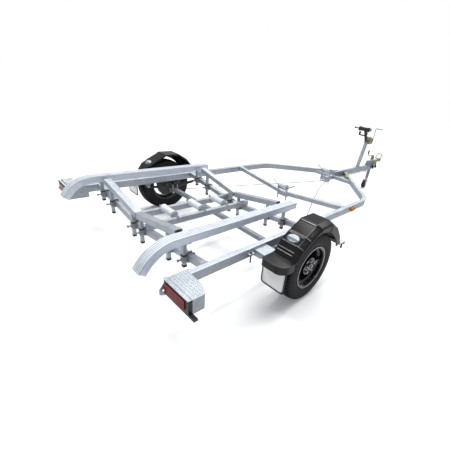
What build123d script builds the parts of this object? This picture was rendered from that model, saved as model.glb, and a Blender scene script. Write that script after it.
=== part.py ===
from build123d import *
import os
from math import atan2, cos, degrees, radians, sin, tan

# Single-axle skid-type boat trailer.  Millimetres, +X towards the coupling,
# +Y to the left, +Z up, z = 0 on the ground.  The origin is under the middle
# of the trailer.  Places along the trailer are given from the axle line.
# Pieces that exist on both sides are made on the left and mirrored in XZ.

# ---------------------------------------------------------------- sizes
AXLE_X = -1508.0            # axle line, from the origin

# Running gear
TYRE_RADIUS = 310.0
TYRE_WIDTH = 178.0
TYRE_SHOULDER = 26.0
BEAD_RADIUS = 176.0
RIM_LIP_RADIUS = 190.0
RIM_WIDTH = 150.0           # between the insides of the lips
RIM_LIP = 6.0
RIM_WALL = 7.0
RIM_WELL = 16.0
BEAD_SETBACK = 15.0         # bead inside the lip
BEAD_FIT = 0.1
RIM_SPOKES = 8
RIM_CENTRE_RADIUS = 78.0
RIM_CENTRE_DEPTH = 24.0
SPOKE_DEPTH = 18.0
STUD_HOLE = 7.0
SPOKE_ROOT_WIDTH = 40.0
SPOKE_TIP_WIDTH = 26.0
SPOKE_DISH = 26.0           # face of the spokes inside the outer lip
WHEEL_Y = 1128.0            # middle of the tyre
BOLT_CIRCLE = 55.0
WHEEL_STUDS = 5
HUB_RADIUS = 60.0
HUB_CAP_RADIUS = 28.0
SPINDLE_RADIUS = 17.0
DISC_RADIUS = 128.0
DISC_THICKNESS = 12.0
DISC_INSET = 66.0           # middle of the disc, inboard of the wheel's middle
CALLIPER_INNER = 92.0
CALLIPER_OUTER = 146.0
CALLIPER_ANGLE = 56.0
CALLIPER_HALF = 26.0
CALLIPER_LOWER = 12.0       # turned below straight ahead
CALLIPER_PLATE = 8.0
CALLIPER_PLATE_WIDTH = 70.0
CALLIPER_ARM_X = 115.0
CALLIPER_ARM_DROP = 24.0
CALLIPER_ARM_WIDTH = 34.0
CALLIPER_ARM_HEIGHT = 40.0
RUNNING_FIT = 0.05          # radial clearance on a pin
FREE_GAP = 6.0              # least gap beside a moving piece
AXLE_BEAM = 45.0
AXLE_END_Y = 985.0

# Leaf springs
SPRING_HALF = 330.0
SPRING_WIDTH = 45.0
LEAF = 8.0
LEAVES = 4
LEAF_STEP = 75.0            # each lower leaf is this much shorter at an end
SPRING_EYE_RADIUS = 15.0
SPRING_PIN_RADIUS = 7.0
SPRING_EYE_Z = 396.0
HANGER_PLATE = 5.0
SPRING_PLATE = 8.0
U_BOLT_RADIUS = 5.0

# Side rails and A-frame
RAIL_Y = 887.0
RAIL_WIDTH = 50.0
RAIL_HEIGHT = 75.0
RAIL_TOP = 500.0
RAIL_CORNER = 6.0
RAIL_REAR = -1045.0
RAIL_BEND = 1652.0
RAIL_BEND_RADIUS = 480.0
A_FRAME_ANGLE = 39.7        # of the front run of a rail, from straight ahead
CROSS_SIZE = 50.0           # square tube of the crossmembers
CROSS_CORNER = 5.0
CROSS_DROP = 100.0          # middle of a crossmember below its ends
CROSS_BEND_RADIUS = 260.0
CROSSBAR_X = 2315.0
DRAWBAR_WIDTH = 50.0
DRAWBAR_HEIGHT = 100.0
DRAWBAR_BOTTOM = 430.0
DRAWBAR_FRONT = 3850.0
GUSSET_THICKNESS = 6.0

# Long skids
SKID_Y = 690.0
SKID_WIDTH = 80.0
SKID_HEIGHT = 42.0
SKID_WALL = 4.0
SKID_TOP = 645.0            # top of the ribbed cap
SKID_CAP = 10.0
SKID_RIB = 4.0
SKID_RIB_WIDTH = 8.0
SKID_RIBS = 5
SKID_FRONT = 330.0
SKID_BEND = -925.0
SKID_BEND_RADIUS = 230.0
SKID_BEND_ANGLE = 54.0
SKID_TIP = 45.0

# Cross skids, which follow the V of the hull
V_SKID_WIDTH = 60.0
V_SKID_HEIGHT = 50.0
V_SKID_WALL = 4.0
V_SKID_INNER = 12.0
V_SKID_OUTER = 600.0
V_SKID_FOOT_Z = 479.0       # underside at the inner end
V_SKID_SLOPE = 10.0
V_SKID_SHIFT = 20.0         # ahead of its posts
V_SKID_BORE = 70.0

# Posts and their clamps on the rear and middle crossmembers
POST_SIZE = 25.0
POST_CLEARANCE = 0.3
POST_HEAD = 5.0
POST_HEAD_LENGTH = 70.0
CLAMP_WALL = 5.0
CLAMP_HEIGHT = 48.0
CLAMP_BAND_WIDTH = 9.0
CLAMP_BAND = 5.0
CLAMP_BOLT_RADIUS = 6.0
CLAMP_BOLT_LENGTH = 26.0
CLAMP_HEAD_RADIUS = 11.0
CLAMP_HEAD = 9.0

# Keel roller ladder
KEEL_BEAM_Y = 122.0
KEEL_BEAM_WIDTH = 40.0
KEEL_BEAM_HEIGHT = 50.0
KEEL_BEAM_REAR = -835.0
KEEL_BEAM_FRONT = 275.0
KEEL_ROLLERS = (-569.0, -288.0, -23.0)
ROLLER_RADIUS = 36.0
ROLLER_WAIST = 31.0
ROLLER_Z = 478.0
ROLLER_PIN = 8.0
PIN_HEAD = 13.0
LUG = 6.0
LUG_WIDTH = 46.0

# Keel guides: short rollers between two rising side rods
GUIDE_ROLLER_RADIUS = 30.0
GUIDE_ROLLER_HALF = 62.0
GUIDE_PIN = 7.0
GUIDE_CHEEK = 6.0
GUIDE_CHEEK_WIDTH = 50.0
GUIDE_POST_Y = 70.0
GUIDE_POST_RADIUS = 9.0
GUIDE_ROD_RADIUS = 8.0
GUIDE_ROD_REACH = 110.0
GUIDE_ROD_RISE = 70.0
KEEL_ARM_SIZE = 50.0
KEEL_ARM_LENGTH = 190.0
GUIDE_STANDOFF = 15.0       # from the post's axis to the face behind it
GUIDE_PLATE_HALF = 85.0
GUIDE_PLATE_HEIGHT = 56.0

# Mudguards
GUARD_INNER_Y = 1020.0
GUARD_OUTER_Y = 1235.0
GUARD_WALL = 4.0
GUARD_ARCH_GAP = 20.0       # outer skirt's arch, clear of the tyre
GUARD_SHOULDER = 50.0       # width of the slope down to the outer skirt
GUARD_SHOULDER_DROP = 20.0
SHELF_Z = 482.0
SHELF_END = 410.0           # behind the axle
FLANGE_BOTTOM = 436.0
FLAP_Y = 1121.0
FLAP_WIDTH = 230.0
FLAP_TOP = 474.0
FLAP_BOTTOM = 240.0
FLAP_CORNER = 14.0
FLAP_THICKNESS = 5.0
STEP_REAR = -396.0
STEP_FRONT = -262.0
STEP_OUTER = 1065.0         # where the plate ends on the guard's shelf
STAY_END = 1225.0
STAY_SIZE = 34.0
STAY_WALL = 4.0

# Rear light boxes
LIGHT_BOX_REAR = -1070.0
LIGHT_BOX_FRONT = -948.0
LIGHT_BOX_OUTER = 1115.0
LIGHT_BOX_DEPTH = 102.0
PLATE = 3.0
LIGHT_BOX_CUT = 42.0
LAMP_DEPTH = 26.0
LAMP_HEIGHT = 88.0
LAMP_INSET = 2.0
LAMP_CORNER = 8.0
LAMP_LIP = 14.0
LAMP_FIN = 52.0
LENS_Y = 978.0
LENS_WIDTH = 208.0
LENS_HEIGHT = 66.0
LENS_SEAT = 8.0
LENS_PROUD = 6.0
TIE_HOLE_RADIUS = 9.0
TIE_PLATE = 6.0
TIE_FRONT = -925.0
TIE_REAR = -1124.0
TIE_HOLE_X = -1099.0
TIE_HOLE_Z = 418.0
TIE_LAND = 24.0
TIE_DROP = 45.0
MARKER_X = 1215.0
MARKER_LENGTH = 90.0
MARKER_HEIGHT = 40.0
MARKER_DEPTH = 22.0

# Winch post, bow stop and winch
POST_X = 3190.0
POST_TUBE = 50.0
POST_LEAN = 12.0
POST_LENGTH = 455.0
POST_FOOT_PLATE = 8.0
POST_BASE_LENGTH = 150.0
POST_BASE_WIDTH = 50.0
BOW_ARM_SIZE = 40.0
BOW_CHEEK = 5.0
BOW_CHEEK_WIDTH = 44.0
BOW_ROLLER_WAIST = 8.0
BOW_ROLLER_X = 3050.0
BOW_ROLLER_Z = 1195.0
BOW_ROLLER_RADIUS = 38.0
BOW_ROLLER_HALF = 88.0
BOW_PIN = 8.0
WINCH_X = 3400.0
WINCH_Z = 995.0
WINCH_PLATE = 4.0
WINCH_HALF = 48.0
WINCH_BELOW = 70.0          # back plate below and above the shaft
WINCH_ABOVE = 52.0
WINCH_NOSE = 46.0
DRUM_RADIUS = 20.0
DRUM_FLANGE = 40.0
DRUM_CHEEK = 3.0
STRAP_RADIUS = 33.0
DRUM_SHAFT = 8.0
CRANK_ARM = 222.0
CRANK_ARM_WIDTH = 24.0
CRANK_ARM_THICKNESS = 6.0
CRANK_BOSS = 16.0
CRANK_GRIP = 100.0
CRANK_GRIP_RADIUS = 13.0
CRANK_STAND_OFF = 10.0

# Coupling
BALL_X = 4160.0
BALL_Z = 585.0
BALL_RADIUS = 25.2          # of the socket, for a 50 mm ball
HEAD_RADIUS = 38.0
HEAD_TOP = 630.0
HEAD_BOTTOM = 562.0
SLIDE_RADIUS = 24.0
SLIDE_REAR = 3690.0
SLIDE_FIT = 0.08
SLIDE_TRAVEL = 60.0
HOUSING_REAR = 3600.0
HOUSING_FRONT = 4010.0
HOUSING_RADIUS = 32.0
HOUSING_BASE = 10.0
HOUSING_BASE_WIDTH = 96.0
HANDLE_BEHIND_BALL = 68.0
HANDLE_X = BALL_X - HANDLE_BEHIND_BALL
HANDLE_Z = 622.0
HANDLE_HALF = 50.0
HANDLE_EAR = 14.0
HANDLE_GAP = 11.0           # between an ear and the handle
HANDLE_RISE = 105.0
HANDLE_LEAN = 30.0
HANDLE_ROD = 6.0
HANDLE_CORNER = 22.0

# Jockey wheel
JOCKEY_X = 3970.0
JOCKEY_TUBE = 30.0
JOCKEY_TUBE_WALL = 4.0
JOCKEY_TOP = 655.0
JOCKEY_TUBE_BOTTOM = 215.0
JOCKEY_FIT = 0.08
JOCKEY_LEG_TOP = 540.0
JOCKEY_LEG_WALL = 4.0
JOCKEY_CAP = 14.0
JOCKEY_WHEEL_RADIUS = 80.0
JOCKEY_WHEEL_WIDTH = 50.0
JOCKEY_HUB_RADIUS = 22.0
JOCKEY_TRAIL = 50.0
JOCKEY_AXLE = 7.0
FORK_PLATE = 4.0
FORK_WIDTH = 46.0
FORK_CROWN = 7.0
FORK_STEM = 10.0
FORK_STEM_LENGTH = 34.0
CLAMP_RING = 4.0
CLAMP_RING_HEIGHT = 60.0
CLAMP_RING_Z = 560.0        # middle of the jockey clamp
JOCKEY_CRANK = 160.0
JOCKEY_CRANK_ROD = 6.0
JOCKEY_CRANK_RISE = 24.0
JOCKEY_CRANK_TURN = 17.0    # of the crank from straight back, to the left
JOCKEY_GRIP = 75.0
JOCKEY_GRIP_RADIUS = 11.0
JOCKEY_CRANK_BOSS = 15.0
JOCKEY_TREAD = 22.0
JOCKEY_WEB = 14.0
JOCKEY_CROWN = 8.0

# Brake cables
CABLE_RADIUS = 3.0
EQUALISER_X = 2090.0
EQUALISER_Z = 405.0
EQUALISER_BAR = 9.0
EQUALISER_HEIGHT = 20.0
EQUALISER_HALF = 55.0
CABLE_Y = 38.0              # a cable's end on the equaliser
CABLE_TURN_X = 1965.0       # where it leaves the line of the rod
CABLE_MIDDLE = (1150.0, 405.0, 360.0)
CABLE_REAR = (400.0, 790.0, 295.0)
CABLE_LEAD = 67.0           # straight run into the brake
CABLE_BENDS = [180.0, 6000.0, 2600.0, 40.0]
BRAKE_ROD = 5.0
ROD_HANGER_REAR = 2560.0
ROD_HANGER_FRONT = 3640.0
HANGER_WIDTH = 30.0
BOSS_RADIUS = 8.0
BOSS_LENGTH = 18.0


# ---------------------------------------------------------------- helpers
def ahead(distance):
    """Return the x of a place given by its distance ahead of the axle."""
    return AXLE_X + distance


def save(piece, label):
    """Label a finished piece and write its STEP file."""
    piece.label = label
    export_step(piece, f"parts/{label}.step")


def cross_z(y):
    """Return the height of a crossmember's centre line at y."""
    slope = CROSS_DROP / RAIL_INNER
    return CROSS_END_Z - slope * (RAIL_INNER - abs(y))


def rail_inner_y(x):
    """Return y of the sloped rail's inner face at x on the A-frame."""
    return (APEX_X - x) * tan(radians(A_FRAME_ANGLE)) - RAIL_WIDTH / 2 / cos(radians(A_FRAME_ANGLE))


os.makedirs("parts", exist_ok=True)

RAIL_INNER = RAIL_Y - RAIL_WIDTH / 2
RAIL_OUTER = RAIL_Y + RAIL_WIDTH / 2
RAIL_MID_Z = RAIL_TOP - RAIL_HEIGHT / 2
RAIL_BOTTOM = RAIL_TOP - RAIL_HEIGHT
CROSS_END_Z = RAIL_TOP - CROSS_SIZE / 2
CROSS_SLOPE = CROSS_DROP / RAIL_INNER
APEX_X = ahead(RAIL_BEND) + RAIL_Y / tan(radians(A_FRAME_ANGLE))
DRAWBAR_TOP = DRAWBAR_BOTTOM + DRAWBAR_HEIGHT
DRAWBAR_HALF = DRAWBAR_WIDTH / 2

# ---------------------------------------------------------------- main frame
with BuildPart() as rail_left:
    with BuildLine() as rail_path:
        FilletPolyline(
            (ahead(RAIL_REAR), RAIL_Y, RAIL_MID_Z),
            (ahead(RAIL_BEND), RAIL_Y, RAIL_MID_Z),
            (APEX_X, 0, RAIL_MID_Z),
            radius=RAIL_BEND_RADIUS,
        )
    with BuildSketch(Plane(origin=rail_path.line @ 0, x_dir=(0, 1, 0), z_dir=(1, 0, 0))):
        RectangleRounded(RAIL_WIDTH, RAIL_HEIGHT, RAIL_CORNER)
    sweep()
    split(bisect_by=Plane(origin=(0, DRAWBAR_HALF, 0), z_dir=(0, 1, 0)), keep=Keep.TOP)
save(rail_left.part, "rail_left")
save(mirror(rail_left.part, about=Plane.XZ), "rail_right")

# Crossmembers: name, place ahead of the axle
CROSSMEMBERS = (
    ("rear", -810.0),
    ("middle", 240.0),
    ("front", 1080.0),
)
CROSS_X = {name: ahead(place) for name, place in CROSSMEMBERS}

with BuildPart() as crossmembers:
    for name, place in CROSSMEMBERS:
        with BuildLine() as cross_path:
            FilletPolyline(
                (ahead(place), -RAIL_Y, cross_z(RAIL_Y)),
                (ahead(place), 0, cross_z(0)),
                (ahead(place), RAIL_Y, cross_z(RAIL_Y)),
                radius=CROSS_BEND_RADIUS,
            )
        with BuildSketch(Plane(origin=cross_path.line @ 0, x_dir=(1, 0, 0), z_dir=cross_path.line % 0)):
            RectangleRounded(CROSS_SIZE, CROSS_SIZE, CROSS_CORNER)
        sweep()
    split(bisect_by=Plane(origin=(0, RAIL_INNER, 0), z_dir=(0, 1, 0)), keep=Keep.BOTTOM)
    split(bisect_by=Plane(origin=(0, -RAIL_INNER, 0), z_dir=(0, 1, 0)), keep=Keep.TOP)
save(crossmembers.part, "crossmembers")

CROSSBAR_REAR = ahead(CROSSBAR_X) - CROSS_SIZE / 2
CROSSBAR_FRONT = ahead(CROSSBAR_X) + CROSS_SIZE / 2

with BuildPart() as crossbar:
    with BuildSketch(Plane.XY.offset(RAIL_BOTTOM)):
        with BuildLine():
            Polyline(
                (CROSSBAR_REAR, rail_inner_y(CROSSBAR_REAR)),
                (CROSSBAR_FRONT, rail_inner_y(CROSSBAR_FRONT)),
                (CROSSBAR_FRONT, -rail_inner_y(CROSSBAR_FRONT)),
                (CROSSBAR_REAR, -rail_inner_y(CROSSBAR_REAR)),
                close=True,
            )
        make_face()
    extrude(amount=CROSS_SIZE)
save(crossbar.part, "a_frame_crossbar")

with BuildPart() as drawbar:
    with BuildSketch(Plane(origin=(CROSSBAR_FRONT, 0, DRAWBAR_BOTTOM + DRAWBAR_HEIGHT / 2),
                           x_dir=(0, 1, 0), z_dir=(1, 0, 0))):
        RectangleRounded(DRAWBAR_WIDTH, DRAWBAR_HEIGHT, RAIL_CORNER)
    extrude(amount=ahead(DRAWBAR_FRONT) - CROSSBAR_FRONT)
save(drawbar.part, "drawbar")

# Gusset plates fill the two triangles between crossbar, rail and drawbar.
with BuildPart() as gussets:
    with BuildSketch(Plane.XY.offset(DRAWBAR_BOTTOM + RAIL_CORNER)):
        with BuildLine():
            Polyline(
                (CROSSBAR_FRONT, DRAWBAR_HALF),
                (CROSSBAR_FRONT, rail_inner_y(CROSSBAR_FRONT)),
                (APEX_X - (DRAWBAR_HALF + RAIL_WIDTH / 2 / cos(radians(A_FRAME_ANGLE)))
                 / tan(radians(A_FRAME_ANGLE)), DRAWBAR_HALF),
                close=True,
            )
        make_face()
    extrude(amount=GUSSET_THICKNESS)
    mirror(about=Plane.XZ)
save(gussets.part, "gusset_plates")

# ---------------------------------------------------------------- long skids
SKID_CHANNEL_TOP = SKID_TOP - SKID_CAP - SKID_RIB
SKID_UNDER = SKID_CHANNEL_TOP - SKID_HEIGHT


def skid_path(height):
    """Lay the line of a skid at this height into the current BuildLine."""
    straight = Line((ahead(SKID_FRONT), SKID_Y, height), (ahead(SKID_BEND), SKID_Y, height))
    radius = SKID_BEND_RADIUS + height - SKID_UNDER
    turn = radians(SKID_BEND_ANGLE)
    half = radians(SKID_BEND_ANGLE / 2)
    centre = Vector(ahead(SKID_BEND), SKID_Y, height - radius)
    middle = centre + Vector(-radius * sin(half), 0, radius * cos(half))
    end = centre + Vector(-radius * sin(turn), 0, radius * cos(turn))
    ThreePointArc(straight @ 1, middle, end)
    Line(end, end + Vector(-SKID_TIP * cos(turn), 0, -SKID_TIP * sin(turn)))


SKID_START = Plane(origin=(ahead(SKID_FRONT), SKID_Y, SKID_CHANNEL_TOP), x_dir=(0, -1, 0), z_dir=(-1, 0, 0))

with BuildPart() as skid:
    with BuildLine():
        skid_path(SKID_CHANNEL_TOP)
    with BuildSketch(SKID_START):
        with Locations((0, -SKID_HEIGHT / 2)):
            Rectangle(SKID_WIDTH, SKID_HEIGHT)
        with Locations((0, -SKID_HEIGHT / 2 - SKID_WALL)):
            Rectangle(SKID_WIDTH - 2 * SKID_WALL, SKID_HEIGHT, mode=Mode.SUBTRACT)
    sweep()
    mirror(about=Plane.XZ)
save(skid.part, "long_skids")

RIB_PITCH = (SKID_WIDTH - SKID_RIB_WIDTH) / (SKID_RIBS - 1)

with BuildPart() as skid_cap:
    with BuildLine():
        skid_path(SKID_CHANNEL_TOP)
    with BuildSketch(SKID_START):
        with Locations((0, SKID_CAP / 2)):
            Rectangle(SKID_WIDTH, SKID_CAP)
        with Locations((0, SKID_CAP + SKID_RIB / 2)):
            with GridLocations(RIB_PITCH, 1, SKID_RIBS, 1):
                Rectangle(SKID_RIB_WIDTH, SKID_RIB)
    sweep()
    mirror(about=Plane.XZ)
save(skid_cap.part, "skid_caps")

# ---------------------------------------------------------------- posts, clamps and cross skids
POST_FROM_CROSS = CROSS_SIZE / 2 + CLAMP_WALL + POST_CLEARANCE + POST_SIZE / 2
POSTED = ("rear", "middle")
POST_X_OF = {name: CROSS_X[name] - POST_FROM_CROSS for name in POSTED}
V_DIRECTION = Vector(0, cos(radians(V_SKID_SLOPE)), sin(radians(V_SKID_SLOPE)))
V_LENGTH = (V_SKID_OUTER - V_SKID_INNER) / cos(radians(V_SKID_SLOPE))

LONG_POST_FOOT = 395.0
# Posts under a cross skid on the left: y, z of the foot
CROSS_POSTS = (
    (485.0, 340.0),
    (72.0, 285.0),
)


def v_skid_plane(name):
    """Return the plane of a cross skid's inner end, with local y up."""
    origin = (POST_X_OF[name] + V_SKID_SHIFT, V_SKID_INNER, V_SKID_FOOT_Z)
    return Plane(origin=origin, x_dir=(-1, 0, 0), z_dir=V_DIRECTION)


with BuildPart() as v_skids:
    for name in POSTED:
        with BuildSketch(v_skid_plane(name)):
            with Locations((0, V_SKID_HEIGHT / 2)):
                RectangleRounded(V_SKID_WIDTH, V_SKID_HEIGHT, V_SKID_WALL)
        extrude(amount=V_LENGTH)
        for plane in (v_skid_plane(name), v_skid_plane(name).offset(V_LENGTH - V_SKID_BORE)):
            with BuildSketch(plane):
                with Locations((0, V_SKID_HEIGHT / 2)):
                    Rectangle(V_SKID_WIDTH - 2 * V_SKID_WALL, V_SKID_HEIGHT - 2 * V_SKID_WALL)
            extrude(amount=V_SKID_BORE, mode=Mode.SUBTRACT)
    mirror(about=Plane.XZ)
save(v_skids.part, "cross_skids")

V_UNDERSIDE = Plane(
    origin=(0, V_SKID_INNER, V_SKID_FOOT_Z),
    x_dir=(1, 0, 0),
    z_dir=(0, -sin(radians(V_SKID_SLOPE)), cos(radians(V_SKID_SLOPE))),
)

with BuildPart() as posts:
    for y, foot in CROSS_POSTS:
        with BuildSketch(Plane.XY.offset(foot)):
            with Locations(*[(POST_X_OF[name], y) for name in POSTED]):
                Rectangle(POST_SIZE, POST_SIZE)
        extrude(amount=SKID_UNDER - foot)
    split(bisect_by=V_UNDERSIDE, keep=Keep.BOTTOM)
    with BuildSketch(Plane.XY.offset(LONG_POST_FOOT)):
        with Locations(*[(POST_X_OF[name], SKID_Y) for name in POSTED]):
            Rectangle(POST_SIZE, POST_SIZE)
    extrude(amount=SKID_UNDER - POST_HEAD - LONG_POST_FOOT)
    with BuildSketch(Plane.XY.offset(SKID_UNDER - POST_HEAD)):
        with Locations(*[(POST_X_OF[name], SKID_Y) for name in POSTED]):
            Rectangle(POST_HEAD_LENGTH, SKID_WIDTH)
    extrude(amount=POST_HEAD)
    mirror(about=Plane.XZ)
save(posts.part, "skid_posts")

SLEEVE_INNER = POST_SIZE + 2 * POST_CLEARANCE
SLEEVE_OUTER = SLEEVE_INNER + 2 * CLAMP_WALL
BAND_INNER = CROSS_SIZE + 0.2

POST_PLACES = [SKID_Y] + [y for y, foot in CROSS_POSTS]
CLAMPS = [(CROSS_X[name], POST_X_OF[name], y) for name in POSTED for y in POST_PLACES]

with BuildPart() as clamps:
    for cross_x, post_x, y in CLAMPS:
        with BuildSketch(Plane.XY.offset(cross_z(y) - CLAMP_HEIGHT / 2)):
            with Locations((post_x, y)):
                Rectangle(SLEEVE_OUTER, SLEEVE_OUTER)
                Rectangle(SLEEVE_INNER, SLEEVE_INNER, mode=Mode.SUBTRACT)
        extrude(amount=CLAMP_HEIGHT)
        for side in (-1, 1):
            start = y + side * SLEEVE_OUTER / 2 - CLAMP_BAND_WIDTH / 2
            centre = Vector(cross_x, start, cross_z(start))
            with BuildSketch(Plane(origin=centre, x_dir=(1, 0, 0), z_dir=(0, 1, CROSS_SLOPE))):
                Rectangle(BAND_INNER + 2 * CLAMP_BAND, BAND_INNER + 2 * CLAMP_BAND)
                Rectangle(BAND_INNER, BAND_INNER, mode=Mode.SUBTRACT)
            extrude(amount=CLAMP_BAND_WIDTH)
        bolt_start = post_x - SLEEVE_OUTER / 2
        with BuildSketch(Plane(origin=(bolt_start, y, cross_z(y)), x_dir=(0, 1, 0), z_dir=(-1, 0, 0))):
            Circle(CLAMP_BOLT_RADIUS)
        extrude(amount=CLAMP_BOLT_LENGTH)
        head_start = bolt_start - CLAMP_BOLT_LENGTH
        with BuildSketch(Plane(origin=(head_start, y, cross_z(y)), x_dir=(0, 1, 0), z_dir=(-1, 0, 0))):
            RegularPolygon(CLAMP_HEAD_RADIUS, 6)
        extrude(amount=CLAMP_HEAD)
    mirror(about=Plane.XZ)
save(clamps.part, "post_clamps")

# ---------------------------------------------------------------- keel roller ladder
KEEL_BEAM_INNER = KEEL_BEAM_Y - KEEL_BEAM_WIDTH / 2
KEEL_BEAM_BOTTOM = cross_z(KEEL_BEAM_Y + KEEL_BEAM_WIDTH / 2) + CROSS_SIZE / 2 * (1 + CROSS_SLOPE ** 2) ** 0.5
ROLLER_HALF = KEEL_BEAM_INNER - LUG - FREE_GAP

with BuildPart() as keel_beam:
    with BuildSketch(Plane.XY.offset(KEEL_BEAM_BOTTOM)):
        with Locations((ahead((KEEL_BEAM_REAR + KEEL_BEAM_FRONT) / 2), KEEL_BEAM_Y)):
            Rectangle(KEEL_BEAM_FRONT - KEEL_BEAM_REAR, KEEL_BEAM_WIDTH)
    extrude(amount=KEEL_BEAM_HEIGHT)
    for place in KEEL_ROLLERS:
        with BuildSketch(Plane.XZ.offset(-KEEL_BEAM_INNER)):
            with BuildLine():
                left = (ahead(place) - LUG_WIDTH / 2, KEEL_BEAM_BOTTOM)
                right = (ahead(place) + LUG_WIDTH / 2, KEEL_BEAM_BOTTOM)
                Polyline((left[0], ROLLER_Z), left, right, (right[0], ROLLER_Z))
                ThreePointArc((right[0], ROLLER_Z), (ahead(place), ROLLER_Z + LUG_WIDTH / 2), (left[0], ROLLER_Z))
            make_face()
            with Locations((ahead(place), ROLLER_Z)):
                Circle(ROLLER_PIN + RUNNING_FIT, mode=Mode.SUBTRACT)
        extrude(amount=LUG)
    mirror(about=Plane.XZ)
save(keel_beam.part, "keel_beams")

for number, place in enumerate(KEEL_ROLLERS, start=1):
    with BuildPart() as roller:
        with BuildSketch(Plane.XY):
            with BuildLine():
                Polyline(
                    (ROLLER_RADIUS, ROLLER_HALF),
                    (ROLLER_PIN + RUNNING_FIT, ROLLER_HALF),
                    (ROLLER_PIN + RUNNING_FIT, -ROLLER_HALF),
                    (ROLLER_RADIUS, -ROLLER_HALF),
                )
                ThreePointArc((ROLLER_RADIUS, -ROLLER_HALF), (ROLLER_WAIST, 0), (ROLLER_RADIUS, ROLLER_HALF))
            make_face()
        revolve(axis=Axis.Y)
    save(Pos(ahead(place), 0, ROLLER_Z) * roller.part, f"keel_roller_{number}")

PIN_HALF = KEEL_BEAM_INNER - RUNNING_FIT

# ---------------------------------------------------------------- keel guides
KEEL_ARM_REAR = CROSSBAR_REAR - KEEL_ARM_LENGTH

with BuildPart() as keel_arm:
    with BuildSketch(Plane(origin=(KEEL_ARM_REAR, 0, RAIL_BOTTOM + KEEL_ARM_SIZE / 2),
                           x_dir=(0, 1, 0), z_dir=(1, 0, 0))):
        RectangleRounded(KEEL_ARM_SIZE, KEEL_ARM_SIZE, CROSS_CORNER)
    extrude(amount=KEEL_ARM_LENGTH)
save(keel_arm.part, "keel_arm")

# Two short rollers on hanging posts, each with a pair of rising side rods.
# name, x of the face that carries it, roller height, foot of the posts, middle of the face
GUIDES = (
    ("middle", CROSS_X["front"] - CROSS_SIZE / 2, 482.0, 300.0, cross_z(0)),
    ("bow", KEEL_ARM_REAR, 585.0, 400.0, RAIL_BOTTOM + KEEL_ARM_SIZE / 2),
)
GUIDE_CHEEK_Y = GUIDE_ROLLER_HALF + FREE_GAP


with BuildPart() as guides:
    for name, face, height, foot, face_z in GUIDES:
        x = face - GUIDE_STANDOFF
        low = height - GUIDE_ROLLER_RADIUS - GUIDE_CHEEK - FREE_GAP
        back = x - GUIDE_CHEEK_WIDTH / 2
        front = x + GUIDE_CHEEK_WIDTH / 2
        for cheek in (-GUIDE_CHEEK_Y - GUIDE_CHEEK, GUIDE_CHEEK_Y):
            with BuildSketch(Plane.XZ.offset(cheek)):
                with BuildLine():
                    Polyline((back, height), (back, low), (front, low), (front, height))
                    ThreePointArc((front, height), (x, height + GUIDE_CHEEK_WIDTH / 2), (back, height))
                make_face()
                with Locations((x, height)):
                    Circle(GUIDE_PIN + RUNNING_FIT, mode=Mode.SUBTRACT)
            extrude(amount=GUIDE_CHEEK)
        with BuildSketch(Plane.XY.offset(low)):
            with Locations((x, 0)):
                Rectangle(GUIDE_CHEEK_WIDTH, 2 * GUIDE_CHEEK_Y)
        extrude(amount=GUIDE_CHEEK)
        with BuildSketch(Plane.XY.offset(foot)):
            with Locations((x, GUIDE_POST_Y), (x, -GUIDE_POST_Y)):
                Circle(GUIDE_POST_RADIUS)
        extrude(amount=low - foot)
        with BuildSketch(Plane.XY.offset(face_z - GUIDE_PLATE_HEIGHT / 2)):
            with Locations(((x + face) / 2, 0)):
                Rectangle(GUIDE_STANDOFF, 2 * GUIDE_PLATE_HALF)
        extrude(amount=GUIDE_PLATE_HEIGHT)
        for side in (-1, 1):
            root = Vector(x, side * GUIDE_CHEEK_Y, height - GUIDE_PIN - 2 * GUIDE_ROD_RADIUS)
            reach = Vector(0, side * GUIDE_ROD_REACH, GUIDE_ROD_RISE)
            with BuildSketch(Plane(origin=root, x_dir=(1, 0, 0), z_dir=reach)):
                Circle(GUIDE_ROD_RADIUS)
            extrude(amount=reach.length)
save(guides.part, "keel_guide_brackets")

with BuildPart() as guide_roller:
    with BuildSketch(Plane.XY):
        with BuildLine():
            inner = GUIDE_PIN + RUNNING_FIT
            waist = GUIDE_ROLLER_RADIUS - ROLLER_RADIUS + ROLLER_WAIST
            Polyline(
                (GUIDE_ROLLER_RADIUS, GUIDE_ROLLER_HALF),
                (inner, GUIDE_ROLLER_HALF),
                (inner, -GUIDE_ROLLER_HALF),
                (GUIDE_ROLLER_RADIUS, -GUIDE_ROLLER_HALF),
            )
            ThreePointArc(
                (GUIDE_ROLLER_RADIUS, -GUIDE_ROLLER_HALF),
                (waist, 0),
                (GUIDE_ROLLER_RADIUS, GUIDE_ROLLER_HALF),
            )
        make_face()
    revolve(axis=Axis.Y)
for name, face, height, foot, face_z in GUIDES:
    save(Pos(face - GUIDE_STANDOFF, 0, height) * guide_roller.part, f"keel_guide_roller_{name}")

# ---------------------------------------------------------------- axle and springs
AXLE_Z = TYRE_RADIUS
SPRING_SEAT_Z = AXLE_Z + AXLE_BEAM / 2
SPRING_TOP_Z = SPRING_SEAT_Z + LEAVES * LEAF
SPINDLE_END_Y = WHEEL_Y + 45.0

with BuildPart() as axle:
    with BuildSketch(Plane.XZ.offset(-AXLE_END_Y)):
        with Locations((AXLE_X, AXLE_Z)):
            RectangleRounded(AXLE_BEAM, AXLE_BEAM, CROSS_CORNER)
    extrude(amount=2 * AXLE_END_Y)
    with BuildSketch(Plane.XZ.offset(-SPINDLE_END_Y)):
        with Locations((AXLE_X, AXLE_Z)):
            Circle(SPINDLE_RADIUS)
    extrude(amount=2 * SPINDLE_END_Y)
save(axle.part, "axle_beam")

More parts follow.
